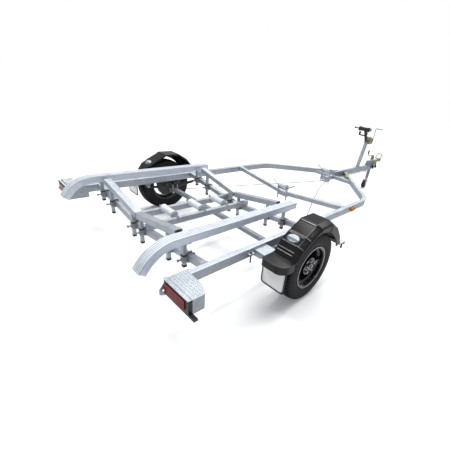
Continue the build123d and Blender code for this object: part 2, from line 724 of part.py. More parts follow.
SPRING_RISE = SPRING_EYE_Z - SPRING_EYE_RADIUS - (SPRING_TOP_Z - LEAF)
with BuildPart() as springs:
    with BuildSketch(Plane.XZ.offset(-RAIL_Y - SPRING_WIDTH / 2)):
        for index in range(LEAVES):
            half = SPRING_HALF - LEAF_STEP * index
            top = SPRING_TOP_Z - LEAF * index
            rise = SPRING_RISE * (half / SPRING_HALF) ** 2
            with BuildLine():
                ThreePointArc((AXLE_X - half, top + rise), (AXLE_X, top), (AXLE_X + half, top + rise))
                Line((AXLE_X + half, top + rise), (AXLE_X + half, top + rise - LEAF))
                ThreePointArc(
                    (AXLE_X + half, top + rise - LEAF),
                    (AXLE_X, top - LEAF),
                    (AXLE_X - half, top + rise - LEAF),
                )
                Line((AXLE_X - half, top + rise - LEAF), (AXLE_X - half, top + rise))
            make_face()
        for side in (-1, 1):
            with Locations((AXLE_X + side * SPRING_HALF, SPRING_EYE_Z)):
                Circle(SPRING_EYE_RADIUS)
                Circle(SPRING_PIN_RADIUS + RUNNING_FIT, mode=Mode.SUBTRACT)
    extrude(amount=SPRING_WIDTH)
    mirror(about=Plane.XZ)
save(springs.part, "leaf_springs")

HANGER_Y = SPRING_WIDTH / 2 + POST_CLEARANCE
with BuildPart() as hangers:
    for side in (-1, 1):
        for inner in (RAIL_Y - HANGER_Y - HANGER_PLATE, RAIL_Y + HANGER_Y):
            x = AXLE_X + side * SPRING_HALF
            with BuildSketch(Plane.XZ.offset(-inner - HANGER_PLATE)):
                with BuildLine():
                    wide = 2 * SPRING_EYE_RADIUS
                    Polyline(
                        (x - SPRING_EYE_RADIUS, SPRING_EYE_Z),
                        (x - wide, RAIL_BOTTOM),
                        (x + wide, RAIL_BOTTOM),
                        (x + SPRING_EYE_RADIUS, SPRING_EYE_Z),
                    )
                    ThreePointArc(
                        (x + SPRING_EYE_RADIUS, SPRING_EYE_Z),
                        (x, SPRING_EYE_Z - SPRING_EYE_RADIUS),
                        (x - SPRING_EYE_RADIUS, SPRING_EYE_Z),
                    )
                make_face()
            extrude(amount=HANGER_PLATE)
        with BuildSketch(Plane.XZ.offset(-RAIL_Y - HANGER_Y - 2 * HANGER_PLATE)):
            with Locations((AXLE_X + side * SPRING_HALF, SPRING_EYE_Z)):
                Circle(SPRING_PIN_RADIUS)
        extrude(amount=2 * (HANGER_Y + 2 * HANGER_PLATE))
    mirror(about=Plane.XZ)
save(hangers.part, "spring_hangers")

# Square U-bolts hold each spring down on the axle through a plate below it.
CLAMP_PLATE_TOP = AXLE_Z - AXLE_BEAM / 2
U_SPAN_X = AXLE_BEAM / 2 + U_BOLT_RADIUS
with BuildPart() as u_bolts:
    with BuildSketch(Plane.XY.offset(CLAMP_PLATE_TOP - SPRING_PLATE)):
        with Locations((AXLE_X, RAIL_Y)):
            Rectangle(2 * U_SPAN_X + 4 * U_BOLT_RADIUS, SPRING_WIDTH + 8 * U_BOLT_RADIUS)
    extrude(amount=SPRING_PLATE)
    for side_x in (-1, 1):
        x = AXLE_X + side_x * (U_SPAN_X + 1)
        for side_y in (-1, 1):
            with BuildSketch(Plane.XY.offset(CLAMP_PLATE_TOP - SPRING_PLATE - 3 * U_BOLT_RADIUS)):
                with Locations((x, RAIL_Y + side_y * (SPRING_WIDTH / 2 + U_BOLT_RADIUS + 1))):
                    Circle(U_BOLT_RADIUS)
            extrude(amount=SPRING_TOP_Z + 2 * U_BOLT_RADIUS - (CLAMP_PLATE_TOP - SPRING_PLATE - 3 * U_BOLT_RADIUS))
        with BuildSketch(Plane.XZ.offset(-RAIL_Y - SPRING_WIDTH / 2 - U_BOLT_RADIUS - 1)):
            with Locations((x, SPRING_TOP_Z + U_BOLT_RADIUS + 1)):
                Circle(U_BOLT_RADIUS)
        extrude(amount=SPRING_WIDTH + 2 * U_BOLT_RADIUS + 2)
    mirror(about=Plane.XZ)
save(u_bolts.part, "axle_u_bolts")

# ---------------------------------------------------------------- wheels, hubs and brakes
TYRE_IN = WHEEL_Y - TYRE_WIDTH / 2
RIM_HALF = RIM_WIDTH / 2
BEAD_HALF = RIM_HALF - BEAD_SETBACK

with BuildPart() as tyre:
    with BuildSketch(Plane.XY):
        with BuildLine():
            half = TYRE_WIDTH / 2
            tread = half - TYRE_SHOULDER
            bulge = (BEAD_RADIUS + TYRE_RADIUS) / 2
            Line((BEAD_RADIUS, -BEAD_HALF), (BEAD_RADIUS, BEAD_HALF))
            ThreePointArc((BEAD_RADIUS, BEAD_HALF), (bulge, half), (TYRE_RADIUS - TYRE_SHOULDER / 2, tread + TYRE_SHOULDER / 2))
            ThreePointArc(
                (TYRE_RADIUS - TYRE_SHOULDER / 2, tread + TYRE_SHOULDER / 2),
                (TYRE_RADIUS - 3, tread + 3),
                (TYRE_RADIUS - 1, tread - 6),
            )
            ThreePointArc((TYRE_RADIUS - 1, tread - 6), (TYRE_RADIUS, 0), (TYRE_RADIUS - 1, -tread + 6))
            ThreePointArc(
                (TYRE_RADIUS - 1, -tread + 6),
                (TYRE_RADIUS - 3, -tread - 3),
                (TYRE_RADIUS - TYRE_SHOULDER / 2, -tread - TYRE_SHOULDER / 2),
            )
            ThreePointArc(
                (TYRE_RADIUS - TYRE_SHOULDER / 2, -tread - TYRE_SHOULDER / 2),
                (bulge, -half),
                (BEAD_RADIUS, -BEAD_HALF),
            )
        make_face()
    revolve(axis=Axis.Y)

WHEEL_PLACE = Pos(AXLE_X, WHEEL_Y, AXLE_Z)
save(WHEEL_PLACE * tyre.part, "tyre_left")
save(mirror(WHEEL_PLACE * tyre.part, about=Plane.XZ), "tyre_right")

with BuildPart() as rim:
    seat = BEAD_RADIUS - BEAD_FIT
    lip = RIM_HALF + RIM_LIP
    well = seat - RIM_WELL
    with BuildSketch(Plane.XY):
        with BuildLine():
            Polyline(
                (RIM_LIP_RADIUS, -lip),
                (RIM_LIP_RADIUS, -RIM_HALF),
                (seat, -RIM_HALF),
                (seat, -RIM_HALF / 2),
                (well, -RIM_HALF / 3),
                (well, RIM_HALF / 3),
                (seat, RIM_HALF / 2),
                (seat, RIM_HALF),
                (RIM_LIP_RADIUS, RIM_HALF),
                (RIM_LIP_RADIUS, lip),
                (seat, lip),
                (seat - RIM_WALL, RIM_HALF),
                (seat - RIM_WALL, RIM_HALF / 2 + RIM_WALL / 2),
                (well - RIM_WALL, RIM_HALF / 3 + RIM_WALL / 2),
                (well - RIM_WALL, -RIM_HALF / 3 - RIM_WALL / 2),
                (seat - RIM_WALL, -RIM_HALF / 2 - RIM_WALL / 2),
                (seat - RIM_WALL, -RIM_HALF),
                (seat, -lip),
                close=True,
            )
        make_face()
    revolve(axis=Axis.Y)
    face = lip - SPOKE_DISH
    with BuildSketch(Plane.XZ.offset(-face)):
        Circle(RIM_CENTRE_RADIUS)
    extrude(amount=RIM_CENTRE_DEPTH)
    with BuildSketch(Plane.XZ.offset(-face)):
        with PolarLocations(0, RIM_SPOKES):
            with BuildLine():
                Polyline(
                    (HUB_RADIUS, -SPOKE_ROOT_WIDTH / 2),
                    (seat - RIM_WALL / 2, -SPOKE_TIP_WIDTH / 2),
                    (seat - RIM_WALL / 2, SPOKE_TIP_WIDTH / 2),
                    (HUB_RADIUS, SPOKE_ROOT_WIDTH / 2),
                    close=True,
                )
            make_face()
    extrude(amount=SPOKE_DEPTH)
    with BuildSketch(Plane.XZ.offset(-face)):
        Circle(HUB_CAP_RADIUS + BEAD_FIT)
        with PolarLocations(BOLT_CIRCLE, WHEEL_STUDS):
            Circle(STUD_HOLE)
    extrude(amount=RIM_CENTRE_DEPTH, mode=Mode.SUBTRACT)
save(WHEEL_PLACE * rim.part, "rim_left")
save(mirror(WHEEL_PLACE * rim.part, about=Plane.XZ), "rim_right")

HUB_FACE = RIM_HALF + RIM_LIP - SPOKE_DISH - RIM_CENTRE_DEPTH
DISC_IN = -DISC_INSET - DISC_THICKNESS / 2
DISC_OUT = -DISC_INSET + DISC_THICKNESS / 2
CAP_END = HUB_FACE + RIM_CENTRE_DEPTH + 12
SPINDLE_POCKET = SPINDLE_END_Y - WHEEL_Y + 2

with BuildPart() as hub:
    bore = SPINDLE_RADIUS + RUNNING_FIT
    with BuildSketch(Plane.XY):
        with BuildLine():
            Polyline(
                (bore, DISC_IN - 10),
                (HUB_RADIUS * 0.6, DISC_IN - 10),
                (HUB_RADIUS * 0.6, DISC_IN),
                (DISC_RADIUS, DISC_IN),
                (DISC_RADIUS, DISC_OUT),
                (HUB_RADIUS * 0.7, DISC_OUT),
                (HUB_RADIUS * 0.7, HUB_FACE - 14),
                (HUB_RADIUS, HUB_FACE - 14),
                (HUB_RADIUS, HUB_FACE),
                (HUB_CAP_RADIUS, HUB_FACE),
                (HUB_CAP_RADIUS, CAP_END),
                (0, CAP_END),
                (0, SPINDLE_POCKET),
                (bore, SPINDLE_POCKET),
                close=True,
            )
        make_face()
    revolve(axis=Axis.Y)
    with BuildSketch(Plane.XZ.offset(-HUB_FACE)):
        with PolarLocations(BOLT_CIRCLE, WHEEL_STUDS):
            Circle(STUD_HOLE - 1)
    extrude(amount=-RIM_CENTRE_DEPTH - 10)
save(WHEEL_PLACE * hub.part, "hub_left")
save(mirror(WHEEL_PLACE * hub.part, about=Plane.XZ), "hub_right")

# Each calliper straddles its disc on a plate at the end of the axle beam.
DISC_Y = WHEEL_Y - DISC_INSET
CALLIPER_ARM_Z = AXLE_Z - CALLIPER_ARM_DROP
with BuildPart() as callipers:
    start = -CALLIPER_LOWER - CALLIPER_ANGLE / 2
    sector = Plane.XZ.offset(-DISC_Y - CALLIPER_HALF)
    with BuildSketch(sector):
        with Locations((AXLE_X, AXLE_Z)):
            Circle(CALLIPER_OUTER)
            Circle(CALLIPER_INNER, mode=Mode.SUBTRACT)
            with BuildLine(mode=Mode.PRIVATE) as wedge:
                Polyline(
                    (0, 0),
                    (2 * CALLIPER_OUTER * cos(radians(start)), 2 * CALLIPER_OUTER * sin(radians(start))),
                    (2 * CALLIPER_OUTER * cos(radians(start + CALLIPER_ANGLE)),
                     2 * CALLIPER_OUTER * sin(radians(start + CALLIPER_ANGLE))),
                    close=True,
                )
            add(make_face(wedge.line, mode=Mode.PRIVATE), mode=Mode.INTERSECT)
    extrude(amount=2 * CALLIPER_HALF)
    with BuildSketch(Plane.XZ.offset(-DISC_Y - DISC_THICKNESS / 2 - 3)):
        with Locations((AXLE_X, AXLE_Z)):
            Circle(DISC_RADIUS + 4)
    extrude(amount=DISC_THICKNESS + 6, mode=Mode.SUBTRACT)
    with BuildSketch(Plane.XZ.offset(-AXLE_END_Y - CALLIPER_PLATE)):
        with Locations((AXLE_X + (CALLIPER_INNER + CALLIPER_OUTER) / 4, AXLE_Z - 20)):
            Rectangle(CALLIPER_OUTER, CALLIPER_PLATE_WIDTH)
        with Locations((AXLE_X, AXLE_Z)):
            Circle(SPINDLE_RADIUS + BEAD_FIT, mode=Mode.SUBTRACT)
    extrude(amount=CALLIPER_PLATE)
    with BuildSketch(Plane.XZ.offset(-AXLE_END_Y - CALLIPER_PLATE)):
        with Locations((ahead(CALLIPER_ARM_X), CALLIPER_ARM_Z)):
            Rectangle(CALLIPER_ARM_WIDTH, CALLIPER_ARM_HEIGHT)
    extrude(amount=-(DISC_Y - CALLIPER_HALF - AXLE_END_Y - CALLIPER_PLATE))
    with BuildSketch(Plane.XZ.offset(-AXLE_END_Y)):
        with Locations((ahead(CALLIPER_ARM_X), CALLIPER_ARM_Z)):
            Circle(BOSS_RADIUS)
    extrude(amount=BOSS_LENGTH)
    mirror(about=Plane.XZ)
save(callipers.part, "brake_callipers")

# ---------------------------------------------------------------- mudguards
# Crown of a guard, front to rear, in three runs.
# Ahead of the tyre's front, height
GUARD_FRONT = (
    (75.0, 405.0),
    (75.0, 445.0),
    (42.0, 530.0),
)
# Ahead of the axle, above the tyre
GUARD_CROWN = (
    (270.0, 8.0),
    (150.0, 80.0),
    (-25.0, 80.0),
    (-38.0, 68.0),
    (-154.0, 8.0),
    (-238.0, -42.0),
)
# Behind the tyre's back, height
GUARD_REAR = (
    (-40.0, 533.0),
    (-7.0, SHELF_Z),
)
GUARD_LINE = [(TYRE_RADIUS + gap, height) for gap, height in GUARD_FRONT]
GUARD_LINE += [(place, 2 * TYRE_RADIUS + rise) for place, rise in GUARD_CROWN]
GUARD_LINE += [(-TYRE_RADIUS - gap, height) for gap, height in GUARD_REAR]
SHOULDER_PLANE = Plane.XZ.offset(GUARD_SHOULDER - GUARD_OUTER_Y)
SHOULDER_TAPER = degrees(atan2(GUARD_SHOULDER_DROP, GUARD_SHOULDER))


def guard_outline(foot, inset):
    """Outline of a guard seen from the side, its feet let down and its edge moved in."""
    line = GUARD_LINE + [(place, height - foot) for place, height in (GUARD_LINE[-1], GUARD_LINE[0])]
    with BuildSketch(SHOULDER_PLANE) as outline:
        with BuildLine():
            Polyline(*[(ahead(place), height) for place, height in line], close=True)
        make_face()
        if inset:
            offset(amount=-inset, kind=Kind.INTERSECTION, mode=Mode.REPLACE)
    return outline.sketch


GUARD_SKIN = guard_outline(GUARD_SHOULDER_DROP, 0.0)
GUARD_HOLLOW = guard_outline(3 * GUARD_SHOULDER_DROP, GUARD_WALL)

with BuildPart() as mudguard:
    extrude(GUARD_SKIN, amount=GUARD_OUTER_Y - GUARD_SHOULDER - GUARD_INNER_Y)
    extrude(GUARD_SKIN, amount=-GUARD_SHOULDER, taper=SHOULDER_TAPER)
    extrude(GUARD_HOLLOW, amount=GUARD_OUTER_Y - GUARD_SHOULDER - GUARD_INNER_Y, mode=Mode.SUBTRACT)
    extrude(GUARD_HOLLOW, amount=GUARD_WALL - GUARD_SHOULDER, taper=SHOULDER_TAPER, mode=Mode.SUBTRACT)
    with BuildSketch(Plane.XZ.offset(-GUARD_OUTER_Y)):
        with Locations((AXLE_X, AXLE_Z)):
            Circle(TYRE_RADIUS + GUARD_ARCH_GAP)
    extrude(amount=2 * GUARD_WALL, mode=Mode.SUBTRACT)
    # The shelf behind the wheel, with the lip that carries the flap.
    with BuildSketch(Plane.XZ.offset(-GUARD_OUTER_Y)):
        shelf_front = ahead(GUARD_LINE[-1][0]) + GUARD_SHOULDER_DROP + GUARD_WALL
        with BuildLine():
            Polyline(
                (shelf_front, SHELF_Z),
                (ahead(-SHELF_END), SHELF_Z),
                (ahead(-SHELF_END), FLANGE_BOTTOM),
                (ahead(-SHELF_END) + GUARD_WALL, FLANGE_BOTTOM),
                (ahead(-SHELF_END) + GUARD_WALL, SHELF_Z - GUARD_WALL),
                (shelf_front, SHELF_Z - GUARD_WALL),
                close=True,
            )
        make_face()
    extrude(amount=GUARD_OUTER_Y - GUARD_INNER_Y)
save(mudguard.part, "mudguard_left")
save(mirror(mudguard.part, about=Plane.XZ), "mudguard_right")

SHELF_FRONT = GUARD_LINE[-1][0]

with BuildPart() as flaps:
    flap_x = ahead(-SHELF_END) + GUARD_WALL
    with BuildSketch(Plane.YZ.offset(flap_x)):
        with Locations((FLAP_Y, FLAP_BOTTOM + (FLAP_TOP - FLAP_BOTTOM) / 2)):
            RectangleRounded(FLAP_WIDTH, FLAP_TOP - FLAP_BOTTOM, FLAP_CORNER)
    extrude(amount=FLAP_THICKNESS)
    mirror(about=Plane.XZ)
save(flaps.part, "mudflaps")

# Guard steps: tread-plate brackets from each rail onto the rear shelf of its guard.
STAY_X, STAY_Z = GUARD_LINE[0]
with BuildPart() as brackets:
    step_z = SHELF_Z
    with BuildSketch(Plane.XY.offset(step_z)):
        with BuildLine():
            Polyline(
                (ahead(STEP_REAR), RAIL_OUTER),
                (ahead(STEP_FRONT), RAIL_OUTER),
                (ahead(STEP_FRONT), GUARD_INNER_Y - FREE_GAP),
                (ahead(SHELF_FRONT) - FREE_GAP, GUARD_INNER_Y - FREE_GAP),
                (ahead(SHELF_FRONT) - FREE_GAP, STEP_OUTER),
                (ahead(STEP_REAR), STEP_OUTER),
                close=True,
            )
        make_face()
    extrude(amount=PLATE)
    with BuildSketch(Plane.YZ.offset(ahead(STEP_REAR))):
        with BuildLine():
            Polyline(
                (RAIL_OUTER, step_z),
                (RAIL_OUTER, RAIL_BOTTOM),
                (GUARD_INNER_Y - FREE_GAP, RAIL_BOTTOM),
                (GUARD_INNER_Y - FREE_GAP, step_z),
                close=True,
            )
        make_face()
    extrude(amount=PLATE)
    with BuildSketch(Plane.XZ.offset(-RAIL_OUTER - PLATE)):
        with BuildLine():
            Polyline(
                (ahead(STEP_REAR), RAIL_BOTTOM),
                (ahead(STEP_FRONT), RAIL_BOTTOM),
                (ahead(STEP_FRONT), step_z),
                (ahead(STEP_REAR), step_z),
                close=True,
            )
        make_face()
    extrude(amount=PLATE)
    # Front stays: an angle from each rail out under the front of the guard.
    stay_x = ahead(STAY_X) + GUARD_WALL / 2
    with BuildSketch(Plane.XZ.offset(-STAY_END)):
        with BuildLine():
            Polyline(
                (stay_x, STAY_Z + STAY_SIZE),
                (stay_x, STAY_Z),
                (stay_x + STAY_SIZE, STAY_Z),
                (stay_x + STAY_SIZE, STAY_Z + STAY_WALL),
                (stay_x + STAY_WALL, STAY_Z + STAY_WALL),
                (stay_x + STAY_WALL, STAY_Z + STAY_SIZE),
                close=True,
            )
        make_face()
    extrude(amount=STAY_END - RAIL_OUTER)
    mirror(about=Plane.XZ)
save(brackets.part, "guard_brackets")

# ---------------------------------------------------------------- rear light boxes
with BuildPart() as light_boxes:
    outline = (
        (ahead(LIGHT_BOX_REAR), RAIL_INNER),
        (ahead(LIGHT_BOX_FRONT), RAIL_INNER),
        (ahead(LIGHT_BOX_FRONT), RAIL_OUTER),
        (ahead(LIGHT_BOX_FRONT) - PLATE, LIGHT_BOX_OUTER - 2 * LIGHT_BOX_CUT),
        (ahead(LIGHT_BOX_FRONT) - LIGHT_BOX_CUT, LIGHT_BOX_OUTER),
        (ahead(LIGHT_BOX_REAR), LIGHT_BOX_OUTER),
    )
    with BuildSketch(Plane.XY.offset(RAIL_TOP)):
        with BuildLine():
            Polyline(*outline, close=True)
        make_face()
    extrude(amount=PLATE)
    with BuildSketch(Plane.XY.offset(RAIL_TOP - LIGHT_BOX_DEPTH)):
        with BuildLine():
            Polyline(*outline[2:], (ahead(LIGHT_BOX_REAR), RAIL_OUTER), close=True)
        make_face()
        with BuildLine():
            Polyline(
                (ahead(LIGHT_BOX_REAR) + PLATE, RAIL_OUTER),
                (ahead(LIGHT_BOX_FRONT) - 2 * PLATE, RAIL_OUTER),
                (ahead(LIGHT_BOX_FRONT) - 2 * PLATE, LIGHT_BOX_OUTER - 2 * LIGHT_BOX_CUT),
                (ahead(LIGHT_BOX_FRONT) - LIGHT_BOX_CUT - PLATE, LIGHT_BOX_OUTER - PLATE),
                (ahead(LIGHT_BOX_REAR) + PLATE, LIGHT_BOX_OUTER - PLATE),
                close=True,
            )
        make_face(mode=Mode.SUBTRACT)
    extrude(amount=LIGHT_BOX_DEPTH)
    mirror(about=Plane.XZ)
save(light_boxes.part, "light_boxes")

# Tie-down plates on the inner faces of the rails, each with a strap hole.
with BuildPart() as tie_plates:
    with BuildSketch(Plane.XZ.offset(-RAIL_INNER)):
        with BuildLine():
            Polyline(
                (ahead(TIE_FRONT), RAIL_BOTTOM - TIE_DROP),
                (ahead(TIE_FRONT), RAIL_TOP),
                (ahead(LIGHT_BOX_REAR), RAIL_TOP),
                (ahead(TIE_REAR), TIE_HOLE_Z + TIE_LAND / 2),
                (ahead(TIE_REAR), TIE_HOLE_Z - TIE_LAND),
                (ahead(TIE_REAR) + TIE_LAND, RAIL_BOTTOM - TIE_DROP),
                close=True,
            )
        make_face()
        with Locations((ahead(TIE_HOLE_X), TIE_HOLE_Z)):
            Circle(TIE_HOLE_RADIUS, mode=Mode.SUBTRACT)
    extrude(amount=TIE_PLATE)
    mirror(about=Plane.XZ)
save(tie_plates.part, "tie_down_plates")

LAMP_X = ahead(LIGHT_BOX_REAR)
LAMP_TOP = RAIL_TOP - LAMP_INSET
with BuildPart() as lamp_bodies:
    with BuildSketch(Plane.YZ.offset(LAMP_X)):
        with Locations(((RAIL_INNER + LIGHT_BOX_OUTER) / 2, LAMP_TOP - LAMP_HEIGHT / 2)):
            RectangleRounded(LIGHT_BOX_OUTER - RAIL_INNER, LAMP_HEIGHT, LAMP_CORNER)
    extrude(amount=-LAMP_DEPTH)
    with BuildSketch(Plane.YZ.offset(LAMP_X - LAMP_DEPTH)):
        with Locations((LENS_Y, LAMP_TOP - LAMP_HEIGHT / 2)):
            RectangleRounded(LENS_WIDTH, LENS_HEIGHT, LAMP_CORNER)
    extrude(amount=LENS_SEAT, mode=Mode.SUBTRACT)
    with BuildSketch(Plane.XY.offset(LAMP_TOP - LAMP_HEIGHT - LAMP_LIP)):
        with BuildLine():
            Polyline(
                (LAMP_X, RAIL_INNER),
                (LAMP_X, LIGHT_BOX_OUTER + LAMP_FIN),
                (LAMP_X - LAMP_DEPTH, LIGHT_BOX_OUTER + LAMP_FIN),
                (LAMP_X - LAMP_DEPTH, RAIL_INNER),
                close=True,
            )
        make_face()
    extrude(amount=LAMP_LIP)
    mirror(about=Plane.XZ)
save(lamp_bodies.part, "tail_lamp_housings")

with BuildPart() as lenses:
    with BuildSketch(Plane.YZ.offset(LAMP_X - LAMP_DEPTH + LENS_SEAT)):
        with Locations((LENS_Y, LAMP_TOP - LAMP_HEIGHT / 2)):
            RectangleRounded(LENS_WIDTH - 2 * POST_CLEARANCE, LENS_HEIGHT - 2 * POST_CLEARANCE, LAMP_CORNER)
    extrude(amount=-LENS_SEAT - LENS_PROUD)
    mirror(about=Plane.XZ)
save(lenses.part, "tail_lamp_lenses")

with BuildPart() as markers:
    with BuildSketch(Plane.XZ.offset(-RAIL_OUTER)):
        with Locations((ahead(MARKER_X), RAIL_MID_Z)):
            RectangleRounded(MARKER_LENGTH, MARKER_HEIGHT, MARKER_HEIGHT / 4)
    extrude(amount=-MARKER_DEPTH)
    mirror(about=Plane.XZ)
save(markers.part, "side_markers")

# ---------------------------------------------------------------- winch post and bow stop
LEAN = radians(POST_LEAN)
POST_UP = Vector(sin(LEAN), 0, cos(LEAN))
POST_FOOT = Vector(ahead(POST_X), 0, DRAWBAR_TOP)

with BuildPart() as post:
    with BuildSketch(Plane(origin=POST_FOOT - POST_UP * POST_TUBE, x_dir=(0, 1, 0), z_dir=POST_UP)):
        RectangleRounded(POST_TUBE, POST_TUBE, CROSS_CORNER)
    extrude(amount=POST_LENGTH + POST_TUBE)
    split(bisect_by=Plane.XY.offset(DRAWBAR_TOP + POST_FOOT_PLATE / 2), keep=Keep.TOP)
    with BuildSketch(Plane.XY.offset(DRAWBAR_TOP)):
        with Locations((ahead(POST_X) + POST_FOOT_PLATE / 2, 0)):
            Rectangle(POST_BASE_LENGTH, POST_BASE_WIDTH)
    extrude(amount=POST_FOOT_PLATE)
save(post.part, "winch_post")

POST_TOP = POST_FOOT + POST_UP * POST_LENGTH
BOW_PLACE = Vector(ahead(BOW_ROLLER_X), 0, BOW_ROLLER_Z)
BOW_CHEEK_IN = BOW_ROLLER_HALF + FREE_GAP

# The bow stop is a forked arm from the top of the post up and back.
with BuildPart() as bow_stop:
    arm_start = POST_TOP - POST_UP * BOW_ARM_SIZE / 2
    arm_end = BOW_PLACE + Vector(BOW_ROLLER_RADIUS + 2 * FREE_GAP, 0, 0)
    along = arm_end - arm_start
    with BuildSketch(Plane(origin=arm_start, x_dir=(0, 1, 0), z_dir=along)):
        RectangleRounded(BOW_ARM_SIZE, BOW_ARM_SIZE, CROSS_CORNER)
    extrude(amount=along.length)
    split(bisect_by=Plane(origin=POST_TOP, z_dir=POST_UP), keep=Keep.TOP)
    with BuildSketch(Plane.XZ.offset(-BOW_CHEEK_IN - BOW_CHEEK)):
        with BuildLine():
            high = BOW_ROLLER_Z + BOW_CHEEK_WIDTH / 2
            low = BOW_ROLLER_Z - BOW_CHEEK_WIDTH / 2
            tail = arm_end.X + BOW_CHEEK_WIDTH / 2
            Line((BOW_PLACE.X, low), (tail, low))
            Line((tail, low), (tail, high))
            Line((tail, high), (BOW_PLACE.X, high))
            ThreePointArc((BOW_PLACE.X, high), (BOW_PLACE.X - BOW_CHEEK_WIDTH / 2, BOW_ROLLER_Z), (BOW_PLACE.X, low))
        make_face()
        with Locations((BOW_PLACE.X, BOW_ROLLER_Z)):
            Circle(BOW_PIN + RUNNING_FIT, mode=Mode.SUBTRACT)
    extrude(amount=BOW_CHEEK)
    mirror(about=Plane.XZ)
    with BuildSketch(Plane.YZ.offset(arm_end.X)):
        with Locations((0, BOW_ROLLER_Z)):
            Rectangle(2 * (BOW_CHEEK_IN + BOW_CHEEK), BOW_CHEEK_WIDTH)
    extrude(amount=BOW_CHEEK_WIDTH / 2)
save(bow_stop.part, "bow_stop_bracket")

# Pins of all the rollers: x, height, radius, half length
PINS = [(ahead(place), ROLLER_Z, ROLLER_PIN, KEEL_BEAM_INNER - RUNNING_FIT) for place in KEEL_ROLLERS]
PINS += [
    (face - GUIDE_STANDOFF, height, GUIDE_PIN, GUIDE_CHEEK_Y + GUIDE_CHEEK)
    for name, face, height, foot, face_z in GUIDES
]
PINS += [(BOW_PLACE.X, BOW_ROLLER_Z, BOW_PIN, BOW_CHEEK_IN + BOW_CHEEK)]

with BuildPart() as roller_pins:
    for x, height, radius, half in PINS:
        with BuildSketch(Plane.XZ.offset(-half)):
            with Locations((x, height)):
                Circle(radius)
        extrude(amount=2 * half)
save(roller_pins.part, "roller_pins")

with BuildPart() as bow_roller:
    with BuildSketch(Plane.XY):
        with BuildLine():
            inner = BOW_PIN + RUNNING_FIT
            Polyline(
                (BOW_ROLLER_RADIUS, BOW_ROLLER_HALF),
                (inner, BOW_ROLLER_HALF),
                (inner, -BOW_ROLLER_HALF),
                (BOW_ROLLER_RADIUS, -BOW_ROLLER_HALF),
            )
            ThreePointArc(
                (BOW_ROLLER_RADIUS, -BOW_ROLLER_HALF),
                (BOW_ROLLER_RADIUS - BOW_ROLLER_WAIST, 0),
                (BOW_ROLLER_RADIUS, BOW_ROLLER_HALF),
            )
        make_face()
    revolve(axis=Axis.Y)
save(Pos(*BOW_PLACE) * bow_roller.part, "bow_roller")

# ---------------------------------------------------------------- winch
WINCH_PLACE = Vector(ahead(WINCH_X), 0, WINCH_Z)
POST_FORWARD = Vector(cos(LEAN), 0, -sin(LEAN))
SHAFT_REACH = (WINCH_PLACE - POST_FOOT).dot(POST_FORWARD)
SHAFT_RISE = (WINCH_PLACE - POST_FOOT).dot(POST_UP)
POST_HALF = POST_TUBE / 2
SIDE_PLANE = Plane(origin=POST_FOOT, x_dir=POST_FORWARD, z_dir=(0, -1, 0))

# Frame of the winch: a channel whose back is bolted to the front of the post.
with BuildPart() as winch_frame:
    with BuildSketch(SIDE_PLANE.offset(-WINCH_HALF - WINCH_PLATE)):
        with BuildLine():
            Polyline(
                (SHAFT_REACH, SHAFT_RISE + WINCH_NOSE),
                (POST_HALF, SHAFT_RISE + WINCH_ABOVE),
                (POST_HALF, SHAFT_RISE - WINCH_BELOW),
                (SHAFT_REACH, SHAFT_RISE - WINCH_NOSE),
            )
            ThreePointArc(
                (SHAFT_REACH, SHAFT_RISE - WINCH_NOSE),
                (SHAFT_REACH + WINCH_NOSE, SHAFT_RISE),
                (SHAFT_REACH, SHAFT_RISE + WINCH_NOSE),
            )
        make_face()
        with Locations((SHAFT_REACH, SHAFT_RISE)):
            Circle(DRUM_SHAFT + RUNNING_FIT, mode=Mode.SUBTRACT)
    extrude(amount=WINCH_PLATE)
    mirror(about=Plane.XZ)
    with BuildSketch(SIDE_PLANE.offset(-WINCH_HALF)):
        with BuildLine():
            Polyline(
                (POST_HALF, SHAFT_RISE + WINCH_ABOVE),
                (POST_HALF, SHAFT_RISE - WINCH_BELOW),
                (POST_HALF + WINCH_PLATE, SHAFT_RISE - WINCH_BELOW),
                (POST_HALF + WINCH_PLATE, SHAFT_RISE + WINCH_ABOVE),
                close=True,
            )
        make_face()
    extrude(amount=2 * WINCH_HALF)
save(winch_frame.part, "winch_frame")

# Drum with its wound strap, on a shaft that carries the crank on the right.
DRUM_HALF = WINCH_HALF - FREE_GAP
SHAFT_END_Y = WINCH_HALF + WINCH_PLATE + FREE_GAP
ARM_Y = -SHAFT_END_Y - CRANK_ARM_THICKNESS

with BuildPart() as winch_drum:
    with BuildSketch(Plane.XY):
        with BuildLine():
            Polyline(
                (0, SHAFT_END_Y),
                (DRUM_SHAFT, SHAFT_END_Y),
                (DRUM_SHAFT, DRUM_HALF),
                (DRUM_FLANGE, DRUM_HALF),
                (DRUM_FLANGE, DRUM_HALF - DRUM_CHEEK),
                (DRUM_RADIUS, DRUM_HALF - DRUM_CHEEK),
                (DRUM_RADIUS, DRUM_CHEEK - DRUM_HALF),
                (DRUM_FLANGE, DRUM_CHEEK - DRUM_HALF),
                (DRUM_FLANGE, -DRUM_HALF),
                (DRUM_SHAFT, -DRUM_HALF),
                (DRUM_SHAFT, -SHAFT_END_Y),
                (0, -SHAFT_END_Y),
                close=True,
            )
        make_face()
    revolve(axis=Axis.Y)
save(Pos(*WINCH_PLACE) * winch_drum.part, "winch_drum")

with BuildPart() as winch_strap:
    with BuildSketch(Plane.XZ.offset(DRUM_CHEEK - DRUM_HALF)):
        Circle(STRAP_RADIUS)
        Circle(DRUM_RADIUS, mode=Mode.SUBTRACT)
    extrude(amount=2 * (DRUM_HALF - DRUM_CHEEK))
save(Pos(*WINCH_PLACE) * winch_strap.part, "winch_strap")

